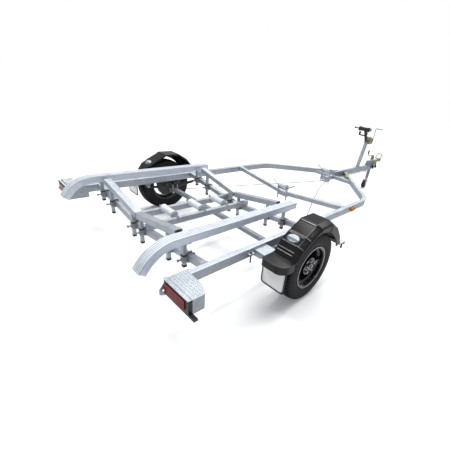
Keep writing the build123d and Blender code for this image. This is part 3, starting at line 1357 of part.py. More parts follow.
with BuildPart() as winch_crank:
    with BuildSketch(Plane.XZ.offset(SHAFT_END_Y)):
        with Locations((0, CRANK_ARM / 2)):
            SlotCenterToCenter(CRANK_ARM, CRANK_ARM_WIDTH, rotation=90)
        Circle(CRANK_BOSS)
    extrude(amount=CRANK_ARM_THICKNESS)
    with BuildSketch(Plane.XZ.offset(-ARM_Y)):
        with Locations((0, CRANK_ARM)):
            Circle(DRUM_SHAFT)
    extrude(amount=CRANK_STAND_OFF)
    with BuildSketch(Plane.XZ.offset(-ARM_Y + CRANK_STAND_OFF)):
        with Locations((0, CRANK_ARM)):
            Circle(CRANK_GRIP_RADIUS)
    extrude(amount=CRANK_GRIP)
save(Pos(*WINCH_PLACE) * winch_crank.part, "winch_crank")

# ---------------------------------------------------------------- coupling
AXIS_Z = BALL_Z
with BuildPart() as housing:
    with BuildSketch(Plane.YZ.offset(ahead(HOUSING_REAR) + HOUSING_BASE)):
        with Locations((0, AXIS_Z)):
            Circle(HOUSING_RADIUS)
        with BuildLine():
            Polyline(
                (-HOUSING_RADIUS, AXIS_Z),
                (-HOUSING_RADIUS, DRAWBAR_TOP),
                (HOUSING_RADIUS, DRAWBAR_TOP),
                (HOUSING_RADIUS, AXIS_Z),
                close=True,
            )
        make_face()
    extrude(amount=HOUSING_FRONT - HOUSING_REAR - HOUSING_BASE)
    with BuildSketch(Plane.XY.offset(DRAWBAR_TOP)):
        with Locations((ahead((HOUSING_REAR + DRAWBAR_FRONT) / 2), 0)):
            RectangleRounded(DRAWBAR_FRONT - HOUSING_REAR, HOUSING_BASE_WIDTH, CROSS_CORNER)
    extrude(amount=HOUSING_BASE)
    with BuildSketch(Plane.YZ.offset(ahead(SLIDE_REAR) - SLIDE_TRAVEL - FREE_GAP)):
        with Locations((0, AXIS_Z)):
            Circle(SLIDE_RADIUS + SLIDE_FIT)
    extrude(amount=HOUSING_FRONT - SLIDE_REAR + SLIDE_TRAVEL + FREE_GAP, mode=Mode.SUBTRACT)
save(housing.part, "coupling_housing")

with BuildPart() as head:
    with BuildSketch(Plane.YZ.offset(ahead(SLIDE_REAR))):
        with Locations((0, AXIS_Z)):
            Circle(SLIDE_RADIUS)
    extrude(amount=BALL_X - BALL_RADIUS - PLATE - SLIDE_REAR)
    with BuildSketch(Plane.XY.offset(HEAD_BOTTOM)):
        with Locations((ahead(BALL_X), 0)):
            Circle(HEAD_RADIUS)
    extrude(amount=HEAD_TOP - HEAD_BOTTOM)
    fillet(head.edges().group_by(Axis.Z)[-1], HEAD_RADIUS / 3)
    with Locations((ahead(BALL_X), 0, BALL_Z)):
        Sphere(BALL_RADIUS, mode=Mode.SUBTRACT)
    with BuildSketch(Plane.XY.offset(HEAD_BOTTOM)):
        with Locations((ahead(BALL_X), 0)):
            Circle(BALL_RADIUS)
    extrude(amount=BALL_Z - HEAD_BOTTOM, mode=Mode.SUBTRACT)
    with BuildSketch(Plane.XZ.offset(-HANDLE_HALF + HANDLE_ROD + HANDLE_GAP)):
        with Locations((ahead(HANDLE_X), HANDLE_Z)):
            Circle(HANDLE_EAR)
        with BuildLine():
            Polyline(
                (ahead(HANDLE_X) - HANDLE_EAR, HANDLE_Z),
                (ahead(HANDLE_X) - HANDLE_EAR, BALL_Z),
                (ahead(BALL_X) - BALL_RADIUS - PLATE, BALL_Z),
                (ahead(BALL_X) - BALL_RADIUS - PLATE, HANDLE_Z),
                close=True,
            )
        make_face()
        with Locations((ahead(HANDLE_X), HANDLE_Z)):
            Circle(HANDLE_ROD + RUNNING_FIT, mode=Mode.SUBTRACT)
    extrude(amount=2 * (HANDLE_HALF - HANDLE_ROD - HANDLE_GAP))
save(head.part, "coupling_head")

HANDLE_SWING = radians(HANDLE_LEAN)
HANDLE_TIP_X = ahead(HANDLE_X) + HANDLE_RISE * sin(HANDLE_SWING)
HANDLE_TIP_Z = HANDLE_Z + HANDLE_RISE * cos(HANDLE_SWING)
with BuildPart() as handle:
    with BuildLine() as handle_path:
        FilletPolyline(
            (ahead(HANDLE_X), -HANDLE_HALF, HANDLE_Z),
            (HANDLE_TIP_X, -HANDLE_HALF, HANDLE_TIP_Z),
            (HANDLE_TIP_X, HANDLE_HALF, HANDLE_TIP_Z),
            (ahead(HANDLE_X), HANDLE_HALF, HANDLE_Z),
            radius=HANDLE_CORNER,
        )
    with BuildSketch(Plane(origin=handle_path.line @ 0, z_dir=handle_path.line % 0)):
        Circle(HANDLE_ROD)
    sweep()
    with BuildSketch(Plane.XZ.offset(-HANDLE_HALF)):
        with Locations((ahead(HANDLE_X), HANDLE_Z)):
            Circle(HANDLE_ROD)
    extrude(amount=2 * HANDLE_HALF)
save(handle.part, "coupling_handle")

# ---------------------------------------------------------------- jockey wheel
JOCKEY_Y = HOUSING_RADIUS + CLAMP_RING + JOCKEY_TUBE
JOCKEY_PLACE = (ahead(JOCKEY_X), JOCKEY_Y)
JOCKEY_BORE = JOCKEY_TUBE - JOCKEY_TUBE_WALL
LEG_RADIUS = JOCKEY_BORE - JOCKEY_FIT
CROWN_BOTTOM = 2 * JOCKEY_WHEEL_RADIUS + FREE_GAP
LEG_BOTTOM = CROWN_BOTTOM + FORK_CROWN

with BuildPart() as jockey_clamp:
    with BuildSketch(Plane.XY.offset(CLAMP_RING_Z - CLAMP_RING_HEIGHT / 2)):
        with BuildLine():
            Polyline(
                (ahead(JOCKEY_X) - JOCKEY_TUBE, HOUSING_RADIUS),
                (ahead(JOCKEY_X) + JOCKEY_TUBE, HOUSING_RADIUS),
                (ahead(JOCKEY_X) + JOCKEY_TUBE, JOCKEY_Y),
                (ahead(JOCKEY_X) - JOCKEY_TUBE, JOCKEY_Y),
                close=True,
            )
        make_face()
        with Locations(JOCKEY_PLACE):
            Circle(JOCKEY_TUBE + CLAMP_RING)
            Circle(JOCKEY_TUBE + JOCKEY_FIT, mode=Mode.SUBTRACT)
    extrude(amount=CLAMP_RING_HEIGHT)
save(jockey_clamp.part, "jockey_clamp")

with BuildPart() as jockey_tube:
    with BuildSketch(Plane.XY.offset(JOCKEY_TUBE_BOTTOM)):
        with Locations(JOCKEY_PLACE):
            Circle(JOCKEY_TUBE)
            Circle(JOCKEY_BORE, mode=Mode.SUBTRACT)
    extrude(amount=JOCKEY_TOP - JOCKEY_TUBE_BOTTOM)
    with BuildSketch(Plane.XY.offset(JOCKEY_TOP)):
        with Locations(JOCKEY_PLACE):
            Circle(JOCKEY_TUBE)
    extrude(amount=JOCKEY_CAP)
    fillet(jockey_tube.edges().group_by(Axis.Z)[-1], JOCKEY_CAP / 2)
save(jockey_tube.part, "jockey_tube")

# Winding handle, turned a little to the left of straight back.
CRANK_TURN = radians(JOCKEY_CRANK_TURN)
CRANK_X = ahead(JOCKEY_X) - JOCKEY_CRANK * cos(CRANK_TURN)
CRANK_Y = JOCKEY_Y + JOCKEY_CRANK * sin(CRANK_TURN)
CAP_TOP = JOCKEY_TOP + JOCKEY_CAP
with BuildPart() as jockey_crank:
    with BuildSketch(Plane.XY.offset(CAP_TOP)):
        with Locations(JOCKEY_PLACE):
            Circle(JOCKEY_CRANK_BOSS)
    extrude(amount=2 * JOCKEY_CRANK_ROD)
    arm_z = CAP_TOP + JOCKEY_CRANK_ROD
    with BuildLine() as crank_path:
        FilletPolyline(
            (*JOCKEY_PLACE, arm_z),
            (CRANK_X, CRANK_Y, arm_z),
            (CRANK_X, CRANK_Y, arm_z + JOCKEY_CRANK_RISE),
            radius=2 * JOCKEY_CRANK_ROD,
        )
    with BuildSketch(Plane(origin=crank_path.line @ 0, z_dir=crank_path.line % 0)):
        Circle(JOCKEY_CRANK_ROD)
    sweep()
    with BuildSketch(Plane.XY.offset(arm_z + JOCKEY_CRANK_RISE)):
        with Locations((CRANK_X, CRANK_Y)):
            Circle(JOCKEY_GRIP_RADIUS)
    extrude(amount=JOCKEY_GRIP)
save(jockey_crank.part, "jockey_crank")

with BuildPart() as jockey_leg:
    with BuildSketch(Plane.XY.offset(LEG_BOTTOM)):
        with Locations(JOCKEY_PLACE):
            Circle(LEG_RADIUS)
            Circle(LEG_RADIUS - JOCKEY_LEG_WALL, mode=Mode.SUBTRACT)
    extrude(amount=JOCKEY_LEG_TOP - LEG_BOTTOM)
    with BuildSketch(Plane.XY.offset(LEG_BOTTOM)):
        with Locations(JOCKEY_PLACE):
            Circle(LEG_RADIUS - JOCKEY_LEG_WALL)
            Circle(FORK_STEM + RUNNING_FIT, mode=Mode.SUBTRACT)
    extrude(amount=FORK_STEM_LENGTH)
save(jockey_leg.part, "jockey_leg")

JOCKEY_AXLE_X = ahead(JOCKEY_X) - JOCKEY_TRAIL
CHEEK_IN = JOCKEY_WHEEL_WIDTH / 2 + FREE_GAP
with BuildPart() as fork:
    with BuildSketch(Plane.XY.offset(CROWN_BOTTOM)):
        with Locations(JOCKEY_PLACE):
            Circle(LEG_RADIUS)
        with Locations((ahead(JOCKEY_X) - JOCKEY_TRAIL / 2, JOCKEY_Y)):
            Rectangle(JOCKEY_TRAIL + FORK_WIDTH, 2 * (CHEEK_IN + FORK_PLATE))
    extrude(amount=FORK_CROWN)
    with BuildSketch(Plane.XY.offset(LEG_BOTTOM)):
        with Locations(JOCKEY_PLACE):
            Circle(FORK_STEM)
    extrude(amount=FORK_STEM_LENGTH)
    with BuildSketch(Plane.XZ.offset(-JOCKEY_Y - CHEEK_IN - FORK_PLATE)):
        with BuildLine():
            front = ahead(JOCKEY_X) + FORK_WIDTH / 2
            rear = JOCKEY_AXLE_X - FORK_WIDTH / 2
            half = FORK_WIDTH / 2
            Polyline(
                (JOCKEY_AXLE_X + half, JOCKEY_WHEEL_RADIUS),
                (front, CROWN_BOTTOM + FORK_CROWN),
                (rear, CROWN_BOTTOM + FORK_CROWN),
                (rear, JOCKEY_WHEEL_RADIUS),
            )
            ThreePointArc(
                (rear, JOCKEY_WHEEL_RADIUS),
                (JOCKEY_AXLE_X, JOCKEY_WHEEL_RADIUS - half),
                (JOCKEY_AXLE_X + half, JOCKEY_WHEEL_RADIUS),
            )
        make_face()
    extrude(amount=FORK_PLATE)
    with BuildSketch(Plane.XZ.offset(-JOCKEY_Y + CHEEK_IN)):
        with BuildLine():
            Polyline(
                (JOCKEY_AXLE_X + half, JOCKEY_WHEEL_RADIUS),
                (front, CROWN_BOTTOM + FORK_CROWN),
                (rear, CROWN_BOTTOM + FORK_CROWN),
                (rear, JOCKEY_WHEEL_RADIUS),
            )
            ThreePointArc(
                (rear, JOCKEY_WHEEL_RADIUS),
                (JOCKEY_AXLE_X, JOCKEY_WHEEL_RADIUS - half),
                (JOCKEY_AXLE_X + half, JOCKEY_WHEEL_RADIUS),
            )
        make_face()
    extrude(amount=FORK_PLATE)
    with BuildSketch(Plane.XZ.offset(-JOCKEY_Y - CHEEK_IN)):
        with Locations((JOCKEY_AXLE_X, JOCKEY_WHEEL_RADIUS)):
            Circle(JOCKEY_AXLE)
    extrude(amount=2 * CHEEK_IN)
save(fork.part, "jockey_fork")

with BuildPart() as jockey_wheel:
    with BuildSketch(Plane.XY):
        with BuildLine():
            half = JOCKEY_WHEEL_WIDTH / 2
            inner = JOCKEY_AXLE + RUNNING_FIT
            web = JOCKEY_WHEEL_RADIUS - JOCKEY_TREAD
            Polyline(
                (inner, -half),
                (JOCKEY_HUB_RADIUS, -half),
                (JOCKEY_HUB_RADIUS, -JOCKEY_WEB / 2),
                (web, -JOCKEY_WEB / 2),
                (web, -half),
                (JOCKEY_WHEEL_RADIUS - JOCKEY_CROWN, -half),
            )
            ThreePointArc(
                (JOCKEY_WHEEL_RADIUS - JOCKEY_CROWN, -half),
                (JOCKEY_WHEEL_RADIUS, 0),
                (JOCKEY_WHEEL_RADIUS - JOCKEY_CROWN, half),
            )
            Polyline(
                (JOCKEY_WHEEL_RADIUS - JOCKEY_CROWN, half),
                (web, half),
                (web, JOCKEY_WEB / 2),
                (JOCKEY_HUB_RADIUS, JOCKEY_WEB / 2),
                (JOCKEY_HUB_RADIUS, half),
                (inner, half),
                (inner, -half),
            )
        make_face()
    revolve(axis=Axis.Y)
save(Pos(JOCKEY_AXLE_X, JOCKEY_Y, JOCKEY_WHEEL_RADIUS) * jockey_wheel.part, "jockey_wheel")

# ---------------------------------------------------------------- brake linkage
with BuildPart() as linkage:
    with BuildSketch(Plane.YZ.offset(ahead(EQUALISER_X) - EQUALISER_BAR / 2)):
        with Locations((0, EQUALISER_Z)):
            SlotOverall(2 * EQUALISER_HALF, EQUALISER_HEIGHT)
    extrude(amount=EQUALISER_BAR)
    with BuildSketch(Plane.YZ.offset(ahead(EQUALISER_X))):
        with Locations((0, EQUALISER_Z)):
            Circle(BRAKE_ROD)
    extrude(amount=ROD_HANGER_FRONT + HANGER_WIDTH - EQUALISER_X)
save(linkage.part, "brake_rod")

with BuildPart() as rod_hangers:
    for place in (ROD_HANGER_REAR, ROD_HANGER_FRONT):
        with BuildSketch(Plane.YZ.offset(ahead(place) - PLATE / 2)):
            with Locations((0, EQUALISER_Z)):
                Circle(HANGER_WIDTH / 2)
            with BuildLine():
                Polyline(
                    (-HANGER_WIDTH / 2, EQUALISER_Z),
                    (-HANGER_WIDTH / 2, DRAWBAR_BOTTOM),
                    (HANGER_WIDTH / 2, DRAWBAR_BOTTOM),
                    (HANGER_WIDTH / 2, EQUALISER_Z),
                    close=True,
                )
            make_face()
            with Locations((0, EQUALISER_Z)):
                Circle(BRAKE_ROD + RUNNING_FIT, mode=Mode.SUBTRACT)
        extrude(amount=PLATE)
save(rod_hangers.part, "brake_rod_hangers")

# Cables from the equaliser to the bosses on the callipers.
CABLE_END = (ahead(CALLIPER_ARM_X), AXLE_END_Y - BOSS_LENGTH, CALLIPER_ARM_Z)
with BuildPart() as cables:
    with BuildLine() as cable_path:
        FilletPolyline(
            (ahead(EQUALISER_X) - EQUALISER_BAR / 2, CABLE_Y, EQUALISER_Z),
            (ahead(CABLE_TURN_X), CABLE_Y, EQUALISER_Z),
            (ahead(CABLE_MIDDLE[0]), CABLE_MIDDLE[1], CABLE_MIDDLE[2]),
            (ahead(CABLE_REAR[0]), CABLE_REAR[1], CABLE_REAR[2]),
            (CABLE_END[0], CABLE_END[1] - CABLE_LEAD, CALLIPER_ARM_Z),
            CABLE_END,
            radius=CABLE_BENDS,
        )
    with BuildSketch(Plane(origin=cable_path.line @ 0, z_dir=cable_path.line % 0)):
        Circle(CABLE_RADIUS)
    sweep()
    mirror(about=Plane.XZ)
save(cables.part, "brake_cables")
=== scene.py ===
import logging
import math
from dataclasses import dataclass, field
from enum import Enum
from functools import lru_cache

import bpy
import numpy as np
from mathutils import Matrix, Vector


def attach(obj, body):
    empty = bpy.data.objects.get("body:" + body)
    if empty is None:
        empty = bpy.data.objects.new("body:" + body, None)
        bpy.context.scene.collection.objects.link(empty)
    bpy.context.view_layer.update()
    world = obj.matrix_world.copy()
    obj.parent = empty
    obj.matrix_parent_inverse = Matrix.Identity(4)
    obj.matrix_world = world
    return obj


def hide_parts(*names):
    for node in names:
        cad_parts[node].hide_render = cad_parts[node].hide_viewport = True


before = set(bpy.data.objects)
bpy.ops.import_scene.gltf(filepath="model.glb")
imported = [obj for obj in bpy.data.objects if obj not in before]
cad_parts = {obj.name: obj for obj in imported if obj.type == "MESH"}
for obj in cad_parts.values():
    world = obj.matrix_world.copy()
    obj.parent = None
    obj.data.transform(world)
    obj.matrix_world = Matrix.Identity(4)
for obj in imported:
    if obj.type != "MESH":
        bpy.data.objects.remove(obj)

log = logging.getLogger("trailer")

# All lengths are in metres, +X forwards to the coupling, +Y to the left, +Z up.
AXLE_X = -1.508
WHEEL_Y = 1.128
WHEEL_Z = 0.310
TURN = 2.0 * math.pi
QUARTER = math.pi / 2.0
X, Y, Z = (1.0, 0.0, 0.0), (0.0, 1.0, 0.0), (0.0, 0.0, 1.0)
INWARDS = (0.0, -1.0, 0.0)


def ahead(distance: float) -> float:
    """Return the x of a place given by its distance ahead of the axle."""
    return AXLE_X + distance


class Side(Enum):
    """A side of the trailer, with the sign of its y."""

    LEFT = 1
    RIGHT = -1

    @property
    def label(self) -> str:
        """Return the side as the names of pieces and bodies write it."""
        return self.name.lower()


# ---------------------------------------------------------------- shader expressions
class Value:
    """A node socket that takes part in Python arithmetic."""

    def __init__(self, graph: "Graph", socket: bpy.types.NodeSocket) -> None:
        """Wrap a socket of a graph."""
        self.graph = graph
        self.socket = socket

    def _math(self, operation: str, first: object, second: object) -> "Value":
        """Add one Math node and return its result.

        Args:
            operation: The Math node's operation.
            first: The first operand, a number or a Value.
            second: The second operand, a number or a Value.

        Returns:
            The node's output as a Value.
        """
        return self.graph.value("ShaderNodeMath", {"operation": operation}, {0: first, 1: second})

    def __add__(self, other: object) -> "Value":
        """Return the sum."""
        return self._math("ADD", self, other)

    def __radd__(self, other: object) -> "Value":
        """Return the sum."""
        return self._math("ADD", other, self)

    def __mul__(self, other: object) -> "Value":
        """Return the product."""
        return self._math("MULTIPLY", self, other)

    def __rmul__(self, other: object) -> "Value":
        """Return the product."""
        return self._math("MULTIPLY", other, self)

    def ramp(self, low: float, high: float) -> "Value":
        """Return 0 below low, 1 above high and a smooth rise between."""
        sockets = {"Value": self, "From Min": low, "From Max": high}
        return self.graph.value("ShaderNodeMapRange", {"interpolation_type": "SMOOTHSTEP"}, sockets)


class Graph:
    """The node tree of one material."""

    def __init__(self, name: str) -> None:
        """Make an empty material with a Principled shader.

        Args:
            name: The material's name.
        """
        self.material = bpy.data.materials.new(name)
        self.material.use_nodes = True
        self.tree = self.material.node_tree
        self.shader = self.tree.nodes["Principled BSDF"]

    def node(self, kind: str, settings: dict, sockets: dict) -> bpy.types.Node:
        """Add a node.

        Args:
            kind: The node's type.
            settings: Its own settings, set first.
            sockets: Values or links, by the socket's name or number.

        Returns:
            The new node.
        """
        made = self.tree.nodes.new(kind)
        for name, setting in settings.items():
            setattr(made, name, setting)
        for name, value in sockets.items():
            self.feed(made.inputs[name], value)
        return made

    def value(self, kind: str, settings: dict, sockets: dict, output: object = 0) -> Value:
        """Add a node and return one of its outputs as a Value."""
        return Value(self, self.node(kind, settings, sockets).outputs[output])

    def feed(self, socket: bpy.types.NodeSocket, value: object) -> None:
        """Link a Value to a socket, or set the socket's own number or colour.

        Args:
            socket: The socket.
            value: A Value, a number, or a tuple, to which a colour's socket adds its alpha.
        """
        if isinstance(value, Value):
            self.tree.links.new(value.socket, socket)
        elif isinstance(value, tuple) and len(value) == 3 and socket.type == "RGBA":
            socket.default_value = (*value, 1.0)
        else:
            socket.default_value = value

    def place(self) -> Value:
        """Return the place on the object, in metres."""
        return self.value("ShaderNodeTexCoord", {}, {}, "Object")

    def noise(self, scale: float, detail: float = 3.0, roughness: float = 0.55) -> Value:
        """Return smooth noise from 0 to 1 with features of about 1/scale metres."""
        sockets = {"Vector": self.place(), "Scale": scale, "Detail": detail, "Roughness": roughness}
        return self.value("ShaderNodeTexNoise", {}, sockets)

    def mix(self, factor: object, first: object, second: object) -> Value:
        """Return a colour between two colours; its sockets for colours are 6, 7 and, going out, 2."""
        return self.value("ShaderNodeMix", {"data_type": "RGBA"}, {0: factor, 6: first, 7: second}, 2)

    def bump(self, height: object, distance: float, strength: float = 1.0) -> Value:
        """Return a normal raised by a height of 0 to 1 over a distance in metres."""
        sockets = {"Height": height, "Distance": distance, "Strength": strength}
        return self.value("ShaderNodeBump", {}, sockets)

    def surface(self, **sockets: object) -> bpy.types.Material:
        """Feed the Principled shader.

        Args:
            **sockets: Values or links, by the socket's name with underscores for spaces.

        Returns:
            The material.
        """
        for name, value in sockets.items():
            self.feed(self.shader.inputs[name.replace("_", " ")], value)
        return self.material


# ---------------------------------------------------------------- finishes
@dataclass(frozen=True)
class Galvanised:
    """Hot-dip zinc: pale grey, softly mottled, with faint crystals and a low sheen."""

    name: str = "galvanised zinc"
    light: tuple = (0.56, 0.60, 0.65)
    dark: tuple = (0.36, 0.39, 0.43)
    crystal: float = 150.0
    cloud: float = 9.0
    roughness: float = 0.36
    drift: float = 0.006
    metallic: float = 0.82

    def material(self) -> bpy.types.Material:
        """Make the finish's nodes.

        Returns:
            The material.
        """
        graph = Graph(self.name)
        warp = graph.noise(40.0, 2.0)
        sockets = {0: warp, 1: (self.drift,) * 3, 2: graph.place()}
        moved = graph.value("ShaderNodeVectorMath", {"operation": "MULTIPLY_ADD"}, sockets)
        sockets = {"Vector": moved, "Scale": self.crystal}
        crystals = graph.value("ShaderNodeTexVoronoi", {"feature": "F1"}, sockets, "Color")
        shade = graph.value("ShaderNodeSeparateColor", {}, {0: crystals})
        cloud = graph.noise(self.cloud, 5.0, 0.6)
        streak = graph.noise(2.3, 3.0)
        tone = (cloud * 0.55 + shade * 0.28 + streak * 0.25).ramp(0.25, 0.85)
        grain = graph.noise(900.0, 2.0)
        return graph.surface(
            Base_Color=graph.mix(tone, self.dark, self.light),
            Metallic=self.metallic,
            Roughness=self.roughness + 0.16 * cloud + 0.07 * shade,
            Normal=graph.bump(grain * 0.4 + cloud, 0.0006, 0.35),
        )


@dataclass(frozen=True)
class Plated:
    """Electroplated or machined metal with fine scratches."""

    name: str
    tone: tuple
    stain: tuple
    roughness: float = 0.28
    metallic: float = 0.95
    wear: float = 0.35

    def material(self) -> bpy.types.Material:
        """Make the finish's nodes.

        Returns:
            The material.
        """
        graph = Graph(self.name)
        blotch = graph.noise(26.0, 5.0, 0.65)
        grain = graph.noise(700.0, 3.0)
        return graph.surface(
            Base_Color=graph.mix(blotch.ramp(0.35, 0.75) * self.wear, self.tone, self.stain),
            Metallic=self.metallic,
            Roughness=self.roughness + 0.22 * blotch,
            Normal=graph.bump(grain, 0.0002, 0.3),
        )


@dataclass(frozen=True)
class Moulded:
    """Moulded plastic or rubber with a fine grain and a little dust."""

    name: str
    tone: tuple
    dust: tuple
    roughness: float = 0.5
    dustiness: float = 0.25
    grain: float = 1400.0
    height: float = 0.0002
    coat: float = 0.0
    specular: float = 0.5

    def material(self) -> bpy.types.Material:
        """Make the finish's nodes.

        Returns:
            The material.
        """
        graph = Graph(self.name)
        dust = graph.noise(14.0, 6.0, 0.62).ramp(0.42, 0.78)
        fine = graph.noise(self.grain, 2.0)
        return graph.surface(
            Base_Color=graph.mix(dust * self.dustiness, self.tone, self.dust),
            Roughness=self.roughness + 0.2 * self.dustiness * dust + 0.06 * fine,
            Coat_Weight=self.coat,
            Coat_Roughness=0.06,
            Specular_IOR_Level=self.specular,
            Normal=graph.bump(fine, self.height, 0.4),
        )


@dataclass(frozen=True)
class Lens:
    """Clear coloured plastic over a ribbed reflector."""

    name: str
    tone: tuple
    deep: tuple
    pitch: float = 420.0

    def material(self) -> bpy.types.Material:
        """Make the finish's nodes.

        Returns:
            The material.
        """
        graph = Graph(self.name)
        sockets = {"Vector": graph.place(), "Scale": self.pitch}
        cells = graph.value("ShaderNodeTexVoronoi", {"distance": "CHEBYCHEV"}, sockets)
        cloud = graph.noise(30.0)
        return graph.surface(
            Base_Color=graph.mix(cells.ramp(0.1, 0.6) * 0.6 + cloud * 0.3, self.tone, self.deep),
            Roughness=0.16 + 0.1 * cloud,
            Specular_IOR_Level=0.08,
            Coat_Weight=0.12,
            Coat_Roughness=0.03,
            Normal=graph.bump(cells, 0.0002, 0.25),
        )


@dataclass(frozen=True)
class Webbing:
    """Woven strap, with bands across it."""

    name: str
    tone: tuple
    dark: tuple
    weave: float = 130.0

    def material(self) -> bpy.types.Material:
        """Make the finish's nodes.

        Returns:
            The material.
        """
        graph = Graph(self.name)
        settings = {"wave_type": "BANDS", "bands_direction": "Y"}
        sockets = {"Vector": graph.place(), "Scale": self.weave, "Distortion": 1.0}
        wave = graph.value("ShaderNodeTexWave", settings, sockets, "Fac")
        return graph.surface(
            Base_Color=graph.mix(wave, self.dark, self.tone),
            Roughness=0.85,
            Normal=graph.bump(wave, 0.0005, 0.8),
        )


GALVANISED = Galvanised()
SKID_ZINC = Galvanised("bright zinc skid", (0.86, 0.91, 0.99), (0.68, 0.74, 0.86), 190.0, 14.0, 0.34)
CHEQUER_ZINC = Galvanised("galvanised tread plate", (0.50, 0.54, 0.58), (0.30, 0.33, 0.37), 190.0, 14.0, 0.34)
# The lozenges are lighter and shinier than the plate around them.
LOZENGE_ZINC = Galvanised("worn tread lozenges", (0.80, 0.82, 0.84), (0.62, 0.65, 0.68), 190.0, 14.0, 0.22)
DARK_ZINC = Galvanised("weathered galvanised tube", (0.40, 0.43, 0.46), (0.22, 0.24, 0.27), 150.0, 11.0, 0.42)
PLATED = Plated("bright zinc plate", (0.55, 0.57, 0.60), (0.36, 0.37, 0.38))
YELLOW_ZINC = Plated("yellow passivated zinc", (0.50, 0.46, 0.25), (0.42, 0.40, 0.30), 0.32, 0.85, 0.8)
SPRING_PAINT = Plated("painted spring steel", (0.030, 0.030, 0.034), (0.10, 0.09, 0.08), 0.45, 0.2, 0.6)
CAST_IRON = Plated("machined cast iron", (0.085, 0.083, 0.082), (0.05, 0.045, 0.04), 0.45, 0.7, 0.6)
BRIGHT_ALLOY = Plated("bright machined alloy", (0.82, 0.83, 0.85), (0.62, 0.63, 0.65), 0.14, 1.0, 0.4)
BLACK_ALLOY = Moulded(
    "gloss black alloy", (0.006, 0.006, 0.007), (0.02, 0.02, 0.022), 0.22, 0.25, 900.0, 0.0001, 0.6
)
GUARD_BLACK = Moulded(
    "gloss black guard", (0.003, 0.0028, 0.0035), (0.012, 0.010, 0.013), 0.12, 0.3, 500.0, 0.00003, 0.0, 0.42
)
TYRE_RUBBER = Moulded(
    "tyre rubber", (0.006, 0.006, 0.008), (0.022, 0.022, 0.026), 0.55, 0.45, 1600.0, 0.0003, 0.0, 0.3
)
BLACK_RUBBER = Moulded("black rubber", (0.012, 0.012, 0.013), (0.04, 0.04, 0.04), 0.5, 0.3)
BLACK_PLASTIC = Moulded("black plastic", (0.010, 0.010, 0.011), (0.03, 0.03, 0.032), 0.34, 0.25)
GREY_POLYMER = Moulded("pale grey polymer", (0.66, 0.70, 0.75), (0.50, 0.54, 0.58), 0.4, 0.8, 700.0, 0.0003)
WHITE_PANEL = Moulded("white flap panel", (0.95, 0.95, 0.94), (0.84, 0.84, 0.82), 0.45, 0.7)
# Painted glare: the pale colour of the badge's upper half stands in for the white reflection of the sky on
# the blue-grey badge.
BADGE_GLARE = Moulded(
    "pale blank badge", (0.52, 0.55, 0.58), (0.40, 0.42, 0.45), 0.25, 0.5, 700.0, 0.0001, 0.5
)
BADGE_BLUE = Moulded(
    "blue grey blank badge", (0.10, 0.14, 0.18), (0.16, 0.19, 0.22), 0.25, 0.5, 700.0, 0.0001, 0.5
)
YELLOW_TAG = Moulded("yellow blank tag", (0.34, 0.36, 0.02), (0.26, 0.27, 0.05), 0.5, 0.5)
CABLE_BLACK = Moulded("cable jacket", (0.02, 0.02, 0.023), (0.06, 0.06, 0.07), 0.4, 0.4)
RED_LENS = Lens("red lens", (0.26, 0.020, 0.018), (0.10, 0.008, 0.008))
AMBER_LENS = Lens("amber lens", (0.72, 0.22, 0.008), (0.38, 0.09, 0.004))
STRAP = Webbing("strap webbing", (0.12, 0.12, 0.14), (0.04, 0.04, 0.05))


@lru_cache(maxsize=None)
def finish(made: object) -> bpy.types.Material:
    """Return the material of a finish, made once."""
    return made.material()


# ---------------------------------------------------------------- meshes
@dataclass
class Surface:
    """The points and faces of a mesh."""

    points: np.ndarray
    faces: list = field(default_factory=list)

    def __add__(self, other: "Surface") -> "Surface":
        """Return both surfaces as one."""
        return joined([self, other])

    def moved(self, x: float = 0.0, y: float = 0.0, z: float = 0.0) -> "Surface":
        """Return the surface moved."""
        return Surface(self.points + np.array([x, y, z]), self.faces)

    def flipped(self) -> "Surface":
        """Return the surface with its faces turned to point the other way."""
        return Surface(self.points, [face[::-1] for face in self.faces])

    def on(self, side: Side) -> "Surface":
        """Return the surface made for the left, or for the right its mirror image, turned outwards again."""
        return self if side is Side.LEFT else Surface(self.points * (1.0, -1.0, 1.0), self.faces).flipped()

    def piece(
        self,
        name: str,
        made: object,
        slot: str,
        smooth: float = 40.0,
        bevel: float = 0.0,
        body: str = "chassis",
    ) -> bpy.types.Object:
        """Make the surface a piece of the trailer.

        Args:
            name: The piece's name.
            made: Its finish.
            slot: Not used; the record's material slot meant for it.
            smooth: Edges flatter than this many degrees are shaded smooth.
            bevel: Width of a bevel on sharper edges, or 0 for none.
            body: The body it rides on.

        Returns:
            The new object.
        """
        mesh = bpy.data.meshes.new(name)
        mesh.from_pydata(self.points.tolist(), [], self.faces)
        mesh.validate()
        mesh.materials.append(finish(made))
        made_object = bpy.data.objects.new(name, mesh)
        bpy.context.scene.collection.objects.link(made_object)
        mesh.shade_smooth()
        mesh.set_sharp_from_angle(angle=math.radians(smooth))
        if bevel:
            edge = made_object.modifiers.new("edge", "BEVEL")
            edge.width = bevel
            edge.segments = 2
            edge.limit_method = "ANGLE"
            edge.harden_normals = True
        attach(made_object, body)
        log.info("made %s on %s: %d points", name, body, len(self.points))
        return made_object


def joined(shells: list) -> Surface:
    """Put many surfaces together.

    Args:
        shells: The surfaces.

    Returns:
        One surface with all their points and faces.
    """
    faces: list = []
    start = 0
    for shell in shells:
        faces += [tuple(i + start for i in face) for face in shell.faces]
        start += len(shell.points)
    return Surface(np.vstack([shell.points for shell in shells]), faces)


